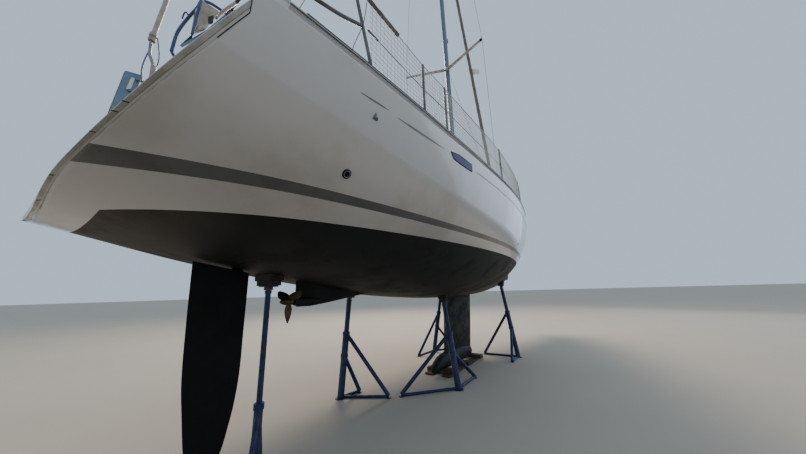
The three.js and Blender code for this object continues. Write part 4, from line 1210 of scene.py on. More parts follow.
    def pole(self) -> None:
        """Makes the stern pole with its bend, collars and braces."""
        x, y, foot = 0.56, 0.3, self.floor + 0.0005
        joint, lean = (0.505, y, 2.03), (0.05, 0, 1)
        lower = bent([(x, y, foot), (x, y, 0.7), (x, y, 1.3), (x, y, 1.7), (0.557, y, 1.78)], 40, 0.022, 20)
        neck = bent([(0.557, y, 1.77), (0.536, y, 1.83), (0.514, y, 1.88), (0.506, y, 1.97), (0.504, y, 2.03),
                     (0.508, y, 2.09)], 40, 0.0135, 16)
        upper = bent([(0.505, y, 2.05), (0.512, y, 2.12), (0.529, y, 2.34), (0.55, y, 2.59),
                      (0.556, y, 2.69)], 40, 0.022, 20)
        sleeve = [(0.014, 0.0), (0.028, 0.003), (0.031, 0.016), (0.031, 0.04), (0.025, 0.046), (0.025, 0.056),
                  (0.031, 0.062), (0.031, 0.09), (0.022, 0.096)]
        band = [(0.024, 0.045), (0.0275, 0.046), (0.0275, 0.056), (0.024, 0.057)]
        base = [(0.024, 0.012), (0.07, 0.0105), (0.07, 0.0), (0.024, 0.0)]
        strop = bent([(0.52, y, 2.12), (0.536, y + 0.01, 2.125), (0.556, y + 0.01, 2.06), (0.582, y, 1.9),
                      (0.577, y, 1.76), (0.566, y, 1.7)], 40, 0.0055, 8)
        deck = self.lines.deck(0.82, 0.62)
        braces = [bent([(0.51, y + 0.014, 1.985), (0.494, 0.36, 1.7), (0.6, 0.46, 1.45), (0.8, 0.66, deck)],
                       34, 0.007, 10),
                  bent([(0.574, y, 1.62), (0.7, 0.42, 1.5), (0.79, 0.56, deck)], 24, 0.009, 10)]
        make = self.yard.make
        make("pole_tube", group(lower, upper), "fendered_tube", instead=("stern_pole",))
        make("pole_neck", neck, "stainless_tube")
        make("pole_collar", turned(sleeve, joint, lean), "fendered_tube")
        make("pole_band", turned(band, joint, lean), "line_padding")
        make("pole_base", turned(base, (x, y, foot), sides=36), "stainless_tube", edge=1)
        make("pole_strop", strop, "dulled_tube")
        make("pole_braces", group(*braces), "blue_acrylic")

    def panel(self) -> None:
        """Makes the slim blue-grey panel in its light frame, clamped to the pole."""
        outline = closed([(0.345, 1.02), (0.452, 1.05), (0.513, 1.715), (0.401, 1.684)], 0.012)
        edge = np.insert(outline, 1, 0.441, axis=1)
        slot = closed([(0.43, 1.5), (0.462, 1.53), (0.472, 1.65), (0.446, 1.645)], 0.01)
        clamps = [pipe([(x, 0.441, z), (middle, 0.4, z - 0.01), (0.556, 0.324, z - 0.02)], 0.007, 10)
                  for x, middle, z in ((0.478, 0.52, 1.64), (0.43, 0.5, 1.5))]
        make = self.yard.make
        make("panel_sheet", slab(outline, 0.436, 0.446, upright=True), "blue_acrylic", edge=1.5)
        make("panel_frame", pipe(np.vstack([edge, edge[:1]]), 0.0055, 8), "dulled_tube")
        make("panel_slot", slab(slot, 0.4335, 0.437, upright=True), "sail_cloth")
        make("panel_clamps", group(*clamps), "dulled_tube")

    def box(self) -> None:
        """Makes the beige box, with a thin black sheet of painted shade for its mouth, in a tube bracket at
        the starboard rail's end.
        """
        y = -0.735
        shell = closed([(0.526, 1.463), (0.6, 1.57), (0.642, 1.715), (0.522, 1.703)], 0.022, 6)
        # the mouth is a thin black sheet: painted shade for the opening
        mouth = closed([(0.574, 1.6), (0.608, 1.65), (0.612, 1.575), (0.584, 1.545)], 0.012)
        bracket = [
            bent([(0.441, y, 1.254), (0.454, y, 1.43), (0.498, y, 1.605), (0.539, y, 1.741),
                  (0.557, y, 1.818), (0.62, y, 1.86), (0.752, y, 1.87)], 60, 0.011, 12),
            bent([(0.5, -0.87, 1.367), (0.507, -0.872, 1.52), (0.515, -0.87, 1.67), (0.54, -0.8, 1.77),
                  (0.565, y, 1.83)], 40, 0.009, 12),
            bent([(0.441, y, 1.254), (0.47, y, 1.222), (0.56, y, 1.27), (0.77, y, 1.6)], 40, 0.009, 12),
            bent([(0.464, y, 1.56), (0.468, y - 0.01, 1.61), (0.482, y, 1.632), (0.5, y, 1.61)],
                 24, 0.005, 10)]
        strap = [(0.476, 1.33), (0.612, 1.59), (0.715, 1.845), (0.735, 1.84), (0.63, 1.575), (0.49, 1.322)]
        flap = [(0.478, 1.337), (0.54, 1.5), (0.538, 1.44), (0.52, 1.385)]
        make = self.yard.make
        make("rail_box", slab(shell, -0.86, -0.74, upright=True), "fendered_tube", edge=9)
        make("rail_box_mouth_shade", slab(mouth, -0.8625, -0.85, upright=True), "black_moulding_and_shade", edge=2)
        make("rail_bracket", group(*bracket), "blue_sleeve")
        make("rail_strap", slab(strap, y - 0.012, y - 0.009, upright=True), "blue_acrylic")
        make("rail_flap", slab(flap, y - 0.006, y + 0.006, upright=True), "black_moulding_and_shade", edge=2)
        make("rail_pipe", bent([(0.642, -0.8, 1.7), (0.7, -0.8, 1.84), (0.774, -0.8, 2.0)], 24, 0.013, 14),
             "fendered_tube")


@dataclass
class Topworks:
    """Deck, coachroof, cockpit and their moulded pieces."""

    yard: Shipyard
    lines: Lines
    seat: float = 0.9503  # height of the cockpit seats

    def build(self) -> None:
        """Dresses the moulded pieces and adds their trim."""
        yard = self.yard
        for node, coat, edge in (
                ("deck", "nonskid_deck", 0), ("toe_rail", "dark_anodised", 3),
                ("coachroof", "gelcoat_deck", 5), ("cockpit_tub", "gelcoat_deck", 9),
                ("coaming_port", "gelcoat_deck", 14),
                ("coaming_starboard", "gelcoat_deck", 14), ("pedestal_port", "gelcoat_deck", 14),
                ("pedestal_starboard", "gelcoat_deck", 14), ("companionway_board", "smoked_acrylic", 2),
                ("engine", "engine_enamel", 12), ("gooseneck_bracket", "stainless_tube", 1.5),
                ("bow_roller", "stainless_tube", 1.5), ("anchor", "galvanised_steel", 3),
                ("windlass", "anodised_trim", 5), ("cockpit_table", "teak", 5)):
            yard.refine(node, coat, edge)
        for side in SIDES:
            yard.refine(f"coachroof_window_{side}", "smoked_acrylic", 0)
            yard.refine(f"table_leaf_{side}", "teak", 3, body=f"table_leaf_{side}")
        yard.refine("companionway_hatch", "smoked_acrylic", 5, body="companionway_hatch")
        for hatch in HATCHES:
            yard.refine(hatch, "smoked_acrylic", 4, body=hatch)
        self.bench()
        self.gunwale()
        self.seats()
        self.hatches()
        self.runners()
        for name, side in SIDES.items():
            self.handrail(name, side)
            self.track(name, side)
        self.cleats()

    def seats(self) -> None:
        """Lays thin teak slats on the cockpit seats."""
        slats = [block((x0, y, self.seat), (x1, y + 0.049, 0.957))
                 for x0, x1, low in ((2.37, 3.86, 0.585), (0.72, 1.08, 0.53))
                 for y in np.arange(low, 1.2, 0.0535)]
        for name, side in SIDES.items():
            self.yard.make(f"seat_slats_{name}", group(*slats).on(side), "teak", edge=1)

    def hatches(self) -> None:
        """Makes the low frames round the roof hatches, open at the hinges, and the lids' handles."""
        grow = 0.021  # from the hatch to the middle of its frame
        half = 0.26 + grow
        knob = [(0.001, -0.002), (0.017, -0.002), (0.017, 0.006), (0.012, 0.01), (0.001, 0.01)]
        for hatch, start in HATCHES.items():
            aft, stop = start - grow, start + 0.47
            ring = rounded([(stop, -half), (aft, -half), (aft, half), (stop, half)], 0.05, 8)
            path = self.yard.top("coachroof", *ring.T) + (0, 0, 0.004)
            spots = self.yard.top(hatch, start + 0.09, np.array([-0.15, 0.15]))
            self.yard.make(f"{hatch}_frame", pipe(path, 0.013), "anodised_trim")
            self.yard.make(f"{hatch}_handles", group(*(turned(knob, spot, sides=20) for spot in spots)),
                           "black_moulding_and_shade", body=hatch)

    def runners(self) -> None:
        """Makes the runners at both sides of the sliding hatch."""
        for name, side in SIDES.items():
            foot = self.yard.top("coachroof", np.linspace(3.98, 5.42, 24), side * 0.405)
            rail = strip(foot, [(-0.014, -0.01), (0.014, -0.01), (0.014, 0.026), (-0.014, 0.026)])
            self.yard.make(f"hatch_runner_{name}", rail, "anodised_trim", edge=3)

    def handrail(self, name: str, side: float) -> None:
        """Makes a handrail on the roof, bowed up from its feet.

        Args:
            name: the side's name.
            side: 1 for port, -1 for starboard.
        """
        y = side * np.array([0.86, 0.83, 0.78, 0.71, 0.62])
        feet = self.yard.top("coachroof", np.linspace(5.05, 7.35, 5), y)
        heads = feet + (0, 0, 0.05)
        base = [(0.024, -0.002), (0.024, 0.004), (0.0115, 0.01)]
        parts = [pipe([foot - (0, 0, 0.004), head], 0.011) for foot, head in zip(feet, heads)]
        parts += [turned(base, foot, sides=20) for foot in feet]
        rail = bent([feet[0] - (0.07, 0, 0), *heads, feet[-1] + (0.07, 0, 0)], 70, 0.0125, 14)
        self.yard.make(f"handrail_{name}", group(*parts, rail), "stainless_tube")

    def track(self, name: str, side: float) -> None:
        """Makes a sheet track on the side deck, with its car and sheave.

        Args:
            name: the side's name.
            side: 1 for port, -1 for starboard.
        """
        tee = [(-0.006, -0.003), (0.006, -0.003), (0.006, 0.012), (0.016, 0.012), (0.016, 0.019),
               (-0.016, 0.019), (-0.016, 0.012), (-0.006, 0.012)]
        wheel = [(0.008, -0.016), (0.028, -0.016), (0.022, 0.0), (0.028, 0.016), (0.008, 0.016)]
        base = self.yard.top("deck", np.linspace(5.0, 6.7, 24), side * 1.52)
        car = base[11] + (0, 0, 0.02)
        sheave = turned(wheel, car + (0, 0, 0.03), ACROSS, 24)
        slide = block(car - (0.05, 0.02, 0.012), car + (0.05, 0.02, 0.008))
        self.yard.make(f"sheet_track_{name}", strip(base, tee), "anodised_trim")
        self.yard.make(f"sheet_car_{name}", group(slide, sheave), "black_moulding_and_shade", edge=1.5)

    def cleats(self) -> None:
        """Makes the mooring cleats: a bar with drooping horns on two legs."""
        bar = smooth([(-0.13, 0, 0.05), (-0.06, 0, 0.06), (0.06, 0, 0.06), (0.13, 0, 0.05)], 24)
        wide = 0.013 - 0.006 * np.abs(np.linspace(-1, 1, 24)) ** 3
        x = np.array([0.98, 5.35, 11.3])
        y = self.lines.beam(x) - (0.13, 0.12, 0.12)
        for name, side in SIDES.items():
            parts = []
            for spot in self.yard.top("deck", x, side * y):
                parts.append(pipe(spot + bar, wide, 14))
                parts += [pipe([spot + (dx, 0, -0.003), spot + (dx, 0, 0.004), spot + (dx * 0.8, 0, 0.056)],
                               [0.02, 0.016, 0.011], 14) for dx in (-0.045, 0.045)]
            self.yard.make(f"cleats_{name}", group(*parts), "stainless_tube")

    def bench(self) -> None:
        """Makes the slatted stern bench."""
        slats = [block((x, -0.49, 0.915), (x + 0.045, 0.49, 0.945)) for x in np.arange(0.76, 1.05, 0.0565)]
        bearers = [block((0.762, y - 0.02, 0.905), (1.088, y + 0.02, 0.9152)) for y in (-0.34, 0.0, 0.34)]
        self.yard.make("bench_slats", group(*slats, *bearers), "teak", body="stern_bench",
                       instead=("stern_bench",), edge=3)

    def gunwale(self) -> None:
        """Makes the dark rubbing strip along the hull and deck joint."""
        x = np.linspace(0.69, 12.86, 160)
        path = np.stack([x, self.lines.beam(x) + 0.001, self.lines.sheer(x) - 0.018], -1)
        for name, side in SIDES.items():
            self.yard.make(f"rubbing_strip_{name}", pipe(path, 0.0045, 8).on(side), "cove_tape")


@dataclass
class Rails:
    """Stanchions, lines, netting, pushpit and pulpit."""

    yard: Shipyard
    lines: Lines
    posts: tuple[float, ...] = (2.1, 2.53, 4.4, 6.25, 8.1, 9.8)
    height: float = 0.61
    mid: float = 0.31
    ends: tuple[float, float] = (0.71, 0.385)  # heights of the upper and middle lines at the pushpit
    inset: float = 0.06
    tube: float = 0.014  # radii of tubes, lines and the netting's strands
    wire: float = 0.004
    cord: float = 0.0022
    leg: tuple[float, float, float] = (1.39, 0.13, 0.74)  # the forward leg's foot, lean and height
    leg_in: float = 0.07  # how far it leans inboard

    def point(self, x: Reals, up: Reals) -> np.ndarray:
        """Returns the point a height above the deck on the port rail line.

        Args:
            x: places along the hull.
            up: heights above the deck.

        Returns:
            The points.
        """
        x = np.asarray(x, float)
        y = self.lines.beam(x) - self.inset
        return np.stack(np.broadcast_arrays(x, y, self.lines.deck(x, y) + up), -1)

    def leg_x(self, up: Reals) -> Reals:
        """Returns the x of the pushpit's forward leg: foot - lean up / height."""
        foot, lean, height = self.leg
        return foot - lean * up / height

    def line(self, x: Reals, upper: bool = True) -> Reals:
        """Returns the height of the upper or the middle line above the deck, higher at the pushpit."""
        first, rest = (self.ends[0], self.height - 0.012) if upper else (self.ends[1], self.mid)
        return np.interp(x, [self.leg_x(first) + 0.015, self.posts[0]], [first, rest])

    def build(self) -> None:
        """Makes the rails of both sides and the bow."""
        for name, side in SIDES.items():
            self.stanchions(name, side)
            self.pushpit(name, side)
            self.netting(name, side)
        self.pulpit()

    def stanchions(self, name: str, side: float) -> None:
        """Makes the stanchions with bases and caps, and the wires through them.

        Args:
            name: the side's name.
            side: 1 for port, -1 for starboard.
        """
        base = [(0.03, 0.0), (0.03, 0.008), (0.019, 0.014), (0.0175, 0.075), (0.013, 0.078)]
        barrel = [(0.004, -0.06), (0.009, -0.055), (0.009, 0.055), (0.004, 0.06)]
        parts, bases, screws = [], [], []
        for x in self.posts:
            foot, head = self.point(x, 0.0), self.point(x, self.height)
            parts.append(pipe([foot - (0, 0, 0.005), head - (0, 0, 0.008), head],
                              [self.tube, self.tube, 0.007], 16))
            bases.append(turned(base, foot))
        for upper, high in ((True, self.ends[0]), (False, self.ends[1])):
            stations = np.array([self.leg_x(high) + 0.015, *self.posts, 11.12])
            parts.append(pipe(self.point(stations, self.line(stations, upper)), self.wire, 8))
        for x in (1.4, 11.06):
            for upper in (True, False):
                start, end = (self.point(v, self.line(v, upper)) for v in (x, x + 0.05))
                screws.append(turned(barrel, start, end - start, 12))
        x = np.linspace(self.leg_x(self.ends[0]), 1.72, 40)
        pad = pipe(self.point(x, self.line(x)), 0.0165 + 0.0012 * np.sin(x * 60), 14)
        lash = bent([self.point(x, up) for x, up in ((1.33, 0.66), (1.29, 0.4), (1.2, 0.12), (1.19, 0.06))],
                    20, 0.003, 8)
        make = self.yard.make
        make(f"stanchions_{name}", group(*parts, *bases).on(side), "dulled_tube",
             instead=(f"lifelines_{name}",))
        make(f"line_screws_{name}", group(*screws).on(side), "rigging_wire")
        make(f"padded_line_{name}", pad.on(side), "line_padding")
        make(f"rail_lashing_{name}", lash.on(side), "rubber_seal_and_hole_shade")

    def netting(self, name: str, side: float) -> None:
        """Makes the netting: strands along the rail that sag between posts by 4 s (1 - s), and
        strands across them.

        Args:
            name: the side's name.
            side: 1 for port, -1 for starboard.
        """
        start, end = 1.36, 11.05
        stations = np.array([start, *self.posts, end])

        def strand(at: np.ndarray, share: np.ndarray) -> np.ndarray:
            """Returns points at x, a share of the way up the net.

            Args:
                at: their x.
                share: 0 at the foot, 1 at the top.

            Returns:
                The points.
            """
            i = np.clip(np.searchsorted(stations, at, side="right") - 1, 0, len(stations) - 2)
            span = stations[i + 1] - stations[i]
            s = np.clip((at - stations[i]) / span, 0, 1)
            droop = 4 * s * (1 - s) * np.minimum(span, 1.8)
            up = 0.03 + share * (self.line(at) - 0.034) - droop * np.sin(math.pi * share) * 0.032
            return self.point(at, up)

        rows = np.linspace(0.0, 1.0, 14)
        long = strand(np.tile(np.linspace(start, end, 260), (14, 1)), rows[:, None])
        at = np.linspace(start + 0.02, end - 0.02, 214)[:, None]
        short = strand(at + 0.02 * np.sin(at * 5.1) * rows, rows[None])
        net = group(*(tubes(strands, self.cord, 4, ACROSS) for strands in (long, short)))
        self.yard.make(f"netting_{name}", net.on(side), "netting_cord", angle=80)

    def pushpit(self, name: str, side: float) -> None:
        """Makes the bent stern rails with their legs and feet.

        Args:
            name: the side's name.
            side: 1 for port, -1 for starboard.
        """
        lines, (foot, lean, high) = self.lines, self.leg
        forward = lines.beam(foot) - self.inset
        flange = [(0.036, 0.0), (0.036, 0.006), (0.02, 0.012), (0.016, 0.03), (0.0128, 0.032)]
        parts, feet = [], []
        for up, drop in ((high, 0.04), (0.42, 0.09)):
            ends = ((self.leg_x(up), forward - self.leg_in * up / high, 0.0), (1.1, 1.69, drop),
                    (0.8, 1.59, drop), (0.745, 1.4, drop), (0.77, 0.64, drop))
            corners = [(x, y, lines.deck(x, y) + up - low) for x, y, low in ends]
            parts.append(pipe(rounded(corners, 0.09, 9), self.tube, 16))
        for x, y, top, tilt, lean_in in ((foot, forward, high, -lean, self.leg_in),
                                         (0.76, 1.5, 0.7, 0.0, 0.0), (0.79, 0.7, 0.7, 0.0, 0.0)):
            deck = lines.deck(x, y)
            parts.append(pipe([(x, y, deck - 0.004), (x + tilt * 0.04, y, deck + 0.03),
                               (x + tilt, y - lean_in, deck + top)], self.tube, 16))
            feet.append(turned(flange, (x, y, deck)))
        self.yard.make(f"pushpit_tubes_{name}", group(*parts, *feet).on(side), "dulled_tube",
                       instead=(f"pushpit_{name}",))

    def pulpit(self) -> None:
        """Makes the bow rail, its legs and feet."""
        lines = self.lines
        half = [(11.18, lines.beam(11.18) - 0.05), (11.95, lines.beam(11.95) - 0.03), (12.6, 0.23),
                (12.93, 0.12)]
        ring = half + [(x, -y) for x, y in half[::-1]]
        rail = [(x, y, lines.sheer(x) + self.height + 0.04) for x, y in ring]
        low = np.array([(x, y, lines.sheer(x) + self.mid + 0.04) for x, y in (*half[:2], (12.5, 0.26))])
        flange = [(0.036, 0.0), (0.036, 0.006), (0.02, 0.012), (0.0128, 0.03)]
        parts, feet = [bent(rail, 110, self.tube, 16)], []
        for x, y, z in (*rail[:2], *rail[-2:]):
            foot = (x + 0.05, y - math.copysign(0.07, y), lines.deck(x + 0.05, y))
            parts.append(pipe([foot, (x, y, z)], self.tube, 16))
            feet.append(turned(flange, foot))
        parts += [bent(low * (1, side, 1), 40, 0.0105, 14) for side in SIDES.values()]
        self.yard.make("pulpit_tubes", group(*parts, *feet), "dulled_tube", instead=("pulpit",))


@dataclass
class Rig:
    """Mast, spreaders, boom, furled headsail and stays."""

    yard: Shipyard
    lines: Lines
    foot: float = 1.7
    top: float = 16.6
    rake: float = 0.0165
    boom_z: float = 2.72
    wire: float = 0.0055  # radius of stays and halyards
    arms: tuple[tuple[str, float, float, float], ...] = (  # the spreaders' name, height, half span and sweep
        ("lower", 6.73, 1.3, 0.44), ("upper", 11.65, 0.96, 0.33))
    stay_foot: tuple[float, float] = (12.56, 1.8)  # x and z
    stay_head: float = 16.3

    def mast_x(self, z: Reals) -> Reals:
        """Returns the mast's middle at a height."""
        return 7.49 - self.rake * (z - self.foot)

    def build(self) -> None:
        """Makes the spars, the sail and the wires."""
        self.mast()
        for arm in self.arms:
            self.spreaders(*arm)
        self.boom()
        self.sail()
        self.wires()

    def mast(self) -> None:
        """Makes the mast: an oval tube with a groove, x = long cos a, y = wide sin a, tapered aloft."""
        levels = np.concatenate([np.linspace(1.755, 13.5, 40), np.linspace(13.7, self.top, 12)])[:, None]
        taper = np.interp(levels, [13.5, self.top], [1.0, 0.8])
        turn = angles(48)
        groove = 1 - 0.1 * np.exp(-((turn - math.pi) / 0.09) ** 2)
        tube = loft(self.mast_x(levels) + 0.105 * taper * np.cos(turn) * groove,
                    0.068 * taper * np.sin(turn), levels)
        head = self.mast_x(self.top)
        crane = block((head - 0.33, -0.035, 16.54), (head + 0.19, 0.035, 16.6149))
        rods = group(pipe([(head - 0.06, 0, 16.6), (head - 0.06, 0, 17.02)], 0.005, 8),
                     turned([(0.001, 0.0), (0.034, 0.004), (0.038, 0.03), (0.034, 0.09), (0.012, 0.11),
                             (0.001, 0.11)], (head + 0.06, 0, 16.61)))
        z = 7.95
        x = self.mast_x(z)
        light = turned([(0.001, 0.0), (0.044, 0.003), (0.05, 0.02), (0.05, 0.15), (0.036, 0.176),
                        (0.001, 0.18)], (x + 0.15, 0, z))
        bracket = block((x + 0.09, -0.02, z + 0.01), (x + 0.13, 0.02, z + 0.05))
        low, high = self.mast_x(1.95), self.mast_x(self.stay_head)
        ropes = [pipe([(low + dx, dy, 1.95), (high + dx * 0.8, dy * 0.8, self.stay_head)], self.wire, 8)
                 for dx, dy in ((0.02, 0.078), (-0.03, -0.08), (0.11, 0.03))]
        make = self.yard.make
        make("mast_section", tube, "anodised_spar", instead=("mast",), angle=45)
        make("masthead_crane", crane, "anodised_trim", edge=6)
        make("masthead_lights", rods, "black_moulding_and_shade")
        make("steaming_light", group(light, bracket), "black_moulding_and_shade", edge=2)
        make("halyards", group(*ropes), "netting_cord")

    def spreaders(self, name: str, z: float, half: float, sweep: float) -> None:
        """Makes a pair of tapered spreaders on a collar, oval in section, with end caps.

        Args:
            name: which pair.
            z: their height at the mast.
            half: how far out they reach.
            sweep: how far aft their tips are.
        """
        x = self.mast_x(z)
        place = np.linspace(0, 1, 24)[:, None]
        cap = [(0.002, -0.05), (0.038, -0.044), (0.042, 0.0), (0.03, 0.022), (0.002, 0.028)]
        parts, tips = [], []
        for side in SIDES.values():
            start, reach = (x - 0.06, side * 0.066, z), (-sweep + 0.06, side * (half - 0.066), 0.07)
            middle = np.array(start) + place * reach
            parts.append(loft(middle[:, :1] + (0.062 - 0.024 * place) * np.cos(angles(24)), middle[:, 1:2],
                              middle[:, 2:] + (0.034 - 0.01 * place) * np.sin(angles(24))))
            tips.append(turned(cap, middle[-1], (-0.3, side, 0.07), 20))
        ring = np.stack([x + 0.108 * np.cos(angles(40)), 0.072 * np.sin(angles(40))], -1)
        collar = solid(np.stack([np.insert(ring * [1, grow], 2, z + high, axis=1) for grow, high in
                                 ((1.0, -0.05), (1.04, -0.044), (1.04, 0.044), (1.0, 0.05))]))
        self.yard.make(f"spreader_pair_{name}", group(*parts, collar), "spreader_alloy",
                       instead=(f"spreaders_{name}",))
        self.yard.make(f"spreader_tips_{name}", group(*tips), "rubber_seal_and_hole_shade")

    def boom(self) -> None:
        """Makes the boom, a rounded section with end fittings, its vang and pins."""
        z = self.boom_z
        pin = self.mast_x(z) - 0.165
        end = pin - 5.15
        stations = np.array([pin - 0.04, pin - 0.12, pin - 0.3, end + 0.3, end + 0.08, end])[:, None]
        size = np.array([0.7, 0.92, 1.0, 1.0, 0.9, 0.75])[:, None]
        c, s = np.cos(angles(40)), np.sin(angles(40))
        spar = loft(stations, np.sign(c) * np.abs(c) ** 0.8 * 0.062 * size,
                    z + np.sign(s) * np.abs(s) ** 0.8 * 0.105 * size)
        pins = [pipe([(pin - 0.06, 0, z), (pin, 0, z)], 0.03, 16),
                pipe([(pin, 0, z - 0.06), (pin, 0, z + 0.06)], 0.024, 20),
                pipe([(pin, 0, 2.0), (pin, 0, 2.08)], 0.024, 20)]
        lower, upper = np.array([pin, 0, 2.04]), np.array([pin - 1.25, 0, 2.66])
        strut = pipe([lower, lower + 0.55 * (upper - lower), lower + 0.56 * (upper - lower), upper],
                     [0.026, 0.026, 0.018, 0.018], 20)
        sheaves = [turned([(0.01, -0.02), (0.05, -0.02), (0.042, 0.0), (0.05, 0.02), (0.01, 0.02)],
                          (end + 0.06, 0, z), ACROSS, 28),
                   turned([(0.008, -0.03), (0.03, -0.03), (0.03, 0.03), (0.008, 0.03)],
                          (end + 1.6, 0, 2.6), ACROSS, 24)]
        make = self.yard.make
        make("boom_section", group(spar, *pins), "anodised_spar", body="boom", instead=("boom",), angle=45)
        make("boom_vang", strut, "anodised_trim", body="boom")
        make("boom_blocks", group(*sheaves), "black_moulding_and_shade", body="boom")

    def stay(self, part: Reals) -> np.ndarray:
        """Returns points a part of the way up the forestay.

        Args:
            part: 0 at its foot, 1 at its head.

        Returns:
            The points.
        """
        foot = np.array([self.stay_foot[0], 0, self.stay_foot[1]])
        head = np.array([self.mast_x(self.stay_head) + 0.12, 0, self.stay_head])
        return foot + np.asarray(part, float)[..., None] * (head - foot)

    def sail(self) -> None:
        """Makes the rolled sail: radius r (1 + 0.1 frac(a / 2 pi - turns s)), so its edge spirals up."""
        table = np.array([[0.0, 0.008], [0.029, 0.008], [0.034, 0.056], [0.3, 0.072], [0.75, 0.056],
                          [0.948, 0.024], [0.954, 0.008], [1.0, 0.008]])
        s = np.concatenate([np.linspace(0.001, 0.028, 4), np.linspace(0.03, 0.954, 420), [0.96, 0.998]])
        middle, s, turn = self.stay(s), s[:, None], angles(32)
        radius = np.interp(s, table[:, 0], table[:, 1])
        lap = (turn / (2 * math.pi) - s * 26) % 1.0
        wrinkle = 0.02 * np.sin(turn * 3 + s * 310) + 0.012 * np.sin(turn * 7 - s * 520)
        size = radius * np.where(radius > 0.01, 0.93 + 0.1 * lap + wrinkle, 1.0)
        roll = loft(middle[:, :1] + size * np.cos(turn), middle[:, 1:2] + size * np.sin(turn), middle[:, 2:])
        drum = [(0.013, 0.0), (0.09, 0.001), (0.094, 0.008), (0.09, 0.036), (0.06, 0.04), (0.056, 0.1),
                (0.09, 0.108), (0.094, 0.13), (0.086, 0.145), (0.02, 0.15), (0.012, 0.17), (0.012, 0.36)]
        low = self.stay_foot[1]
        at = self.stay((8.72 - low) / (self.stay_head - low))
        u, v = np.meshgrid(np.linspace(0, 1, 14), np.linspace(-1, 1, 8), indexing="ij")
        clew = at + np.stack([0.03 + 0.14 * u, 0.06 - 0.36 * u, v * (0.17 - 0.06 * u) - 0.05 * u], -1)
        clew[..., 0] += 0.015 * np.sin(u * 9 + v)
        make = self.yard.make
        make("sail_roll", roll, "sun_strip_cloth", instead=("furled_headsail",), angle=60)
        make("drum", turned(drum, self.stay(0.0035), self.stay(1.0) - self.stay(0.0), 40), "black_moulding_and_shade",
             instead=("furler_drum",))
        make("clew_patch", skin(clew), "sail_cloth", wall=0.002, angle=80)

    def wires(self) -> None:
        """Makes shrouds and backstay with their turnbuckles and end fittings."""
        plate = np.array([6.9, 1.35, self.lines.deck(6.9, 1.35) + 0.001])
        tips = [(self.mast_x(z) - sweep - 0.012, half + 0.026, z + 0.072) for _, z, half, sweep in self.arms]
        head = (self.mast_x(16.35) - 0.03, 0.066, 16.35)
        root = (self.mast_x(6.6) - 0.06, 0.07, 6.59)
        barrel = [(0.005, 0.0), (0.011, 0.01), (0.011, 0.06), (0.015, 0.07), (0.015, 0.2), (0.011, 0.21),
                  (0.011, 0.27), (0.006, 0.29)]
        foot = block((6.86, 1.32, plate[2] - 0.001), (6.94, 1.38, plate[2] + 0.012))
        parts = [pipe([plate, *tips, head], self.wire, 8), pipe([plate, root], 0.0045, 8),
                 *(turned(barrel, plate, target - plate, 16) for target in (tips[0], root)), foot]
        for name, side in SIDES.items():
            self.yard.make(f"shroud_wires_{name}", group(*parts).on(side), "rigging_wire",
                           instead=(f"shrouds_{name}",))
        split = np.array([2.35, 0, 5.2])
        joint = [(0.004, -0.04), (0.028, -0.012), (0.028, 0.012), (0.004, 0.04)]
        screw = [(0.005, 0.0), (0.013, 0.02), (0.013, 0.2), (0.005, 0.24)]
        parts = [pipe([(self.mast_x(self.top) - 0.3, 0, 16.536), split], self.wire, 8),
                 turned(joint, split, (0.3, 0, 1), 20)]
        for side in SIDES.values():
            foot = np.array([0.83, side * 1.38, self.lines.deck(0.83, 1.38) + 0.001])
            parts += [pipe([split, foot], self.wire, 8), turned(screw, foot, split - foot, 16)]
        self.yard.make("backstay_wires", group(*parts), "rigging_wire", instead=("backstay",))


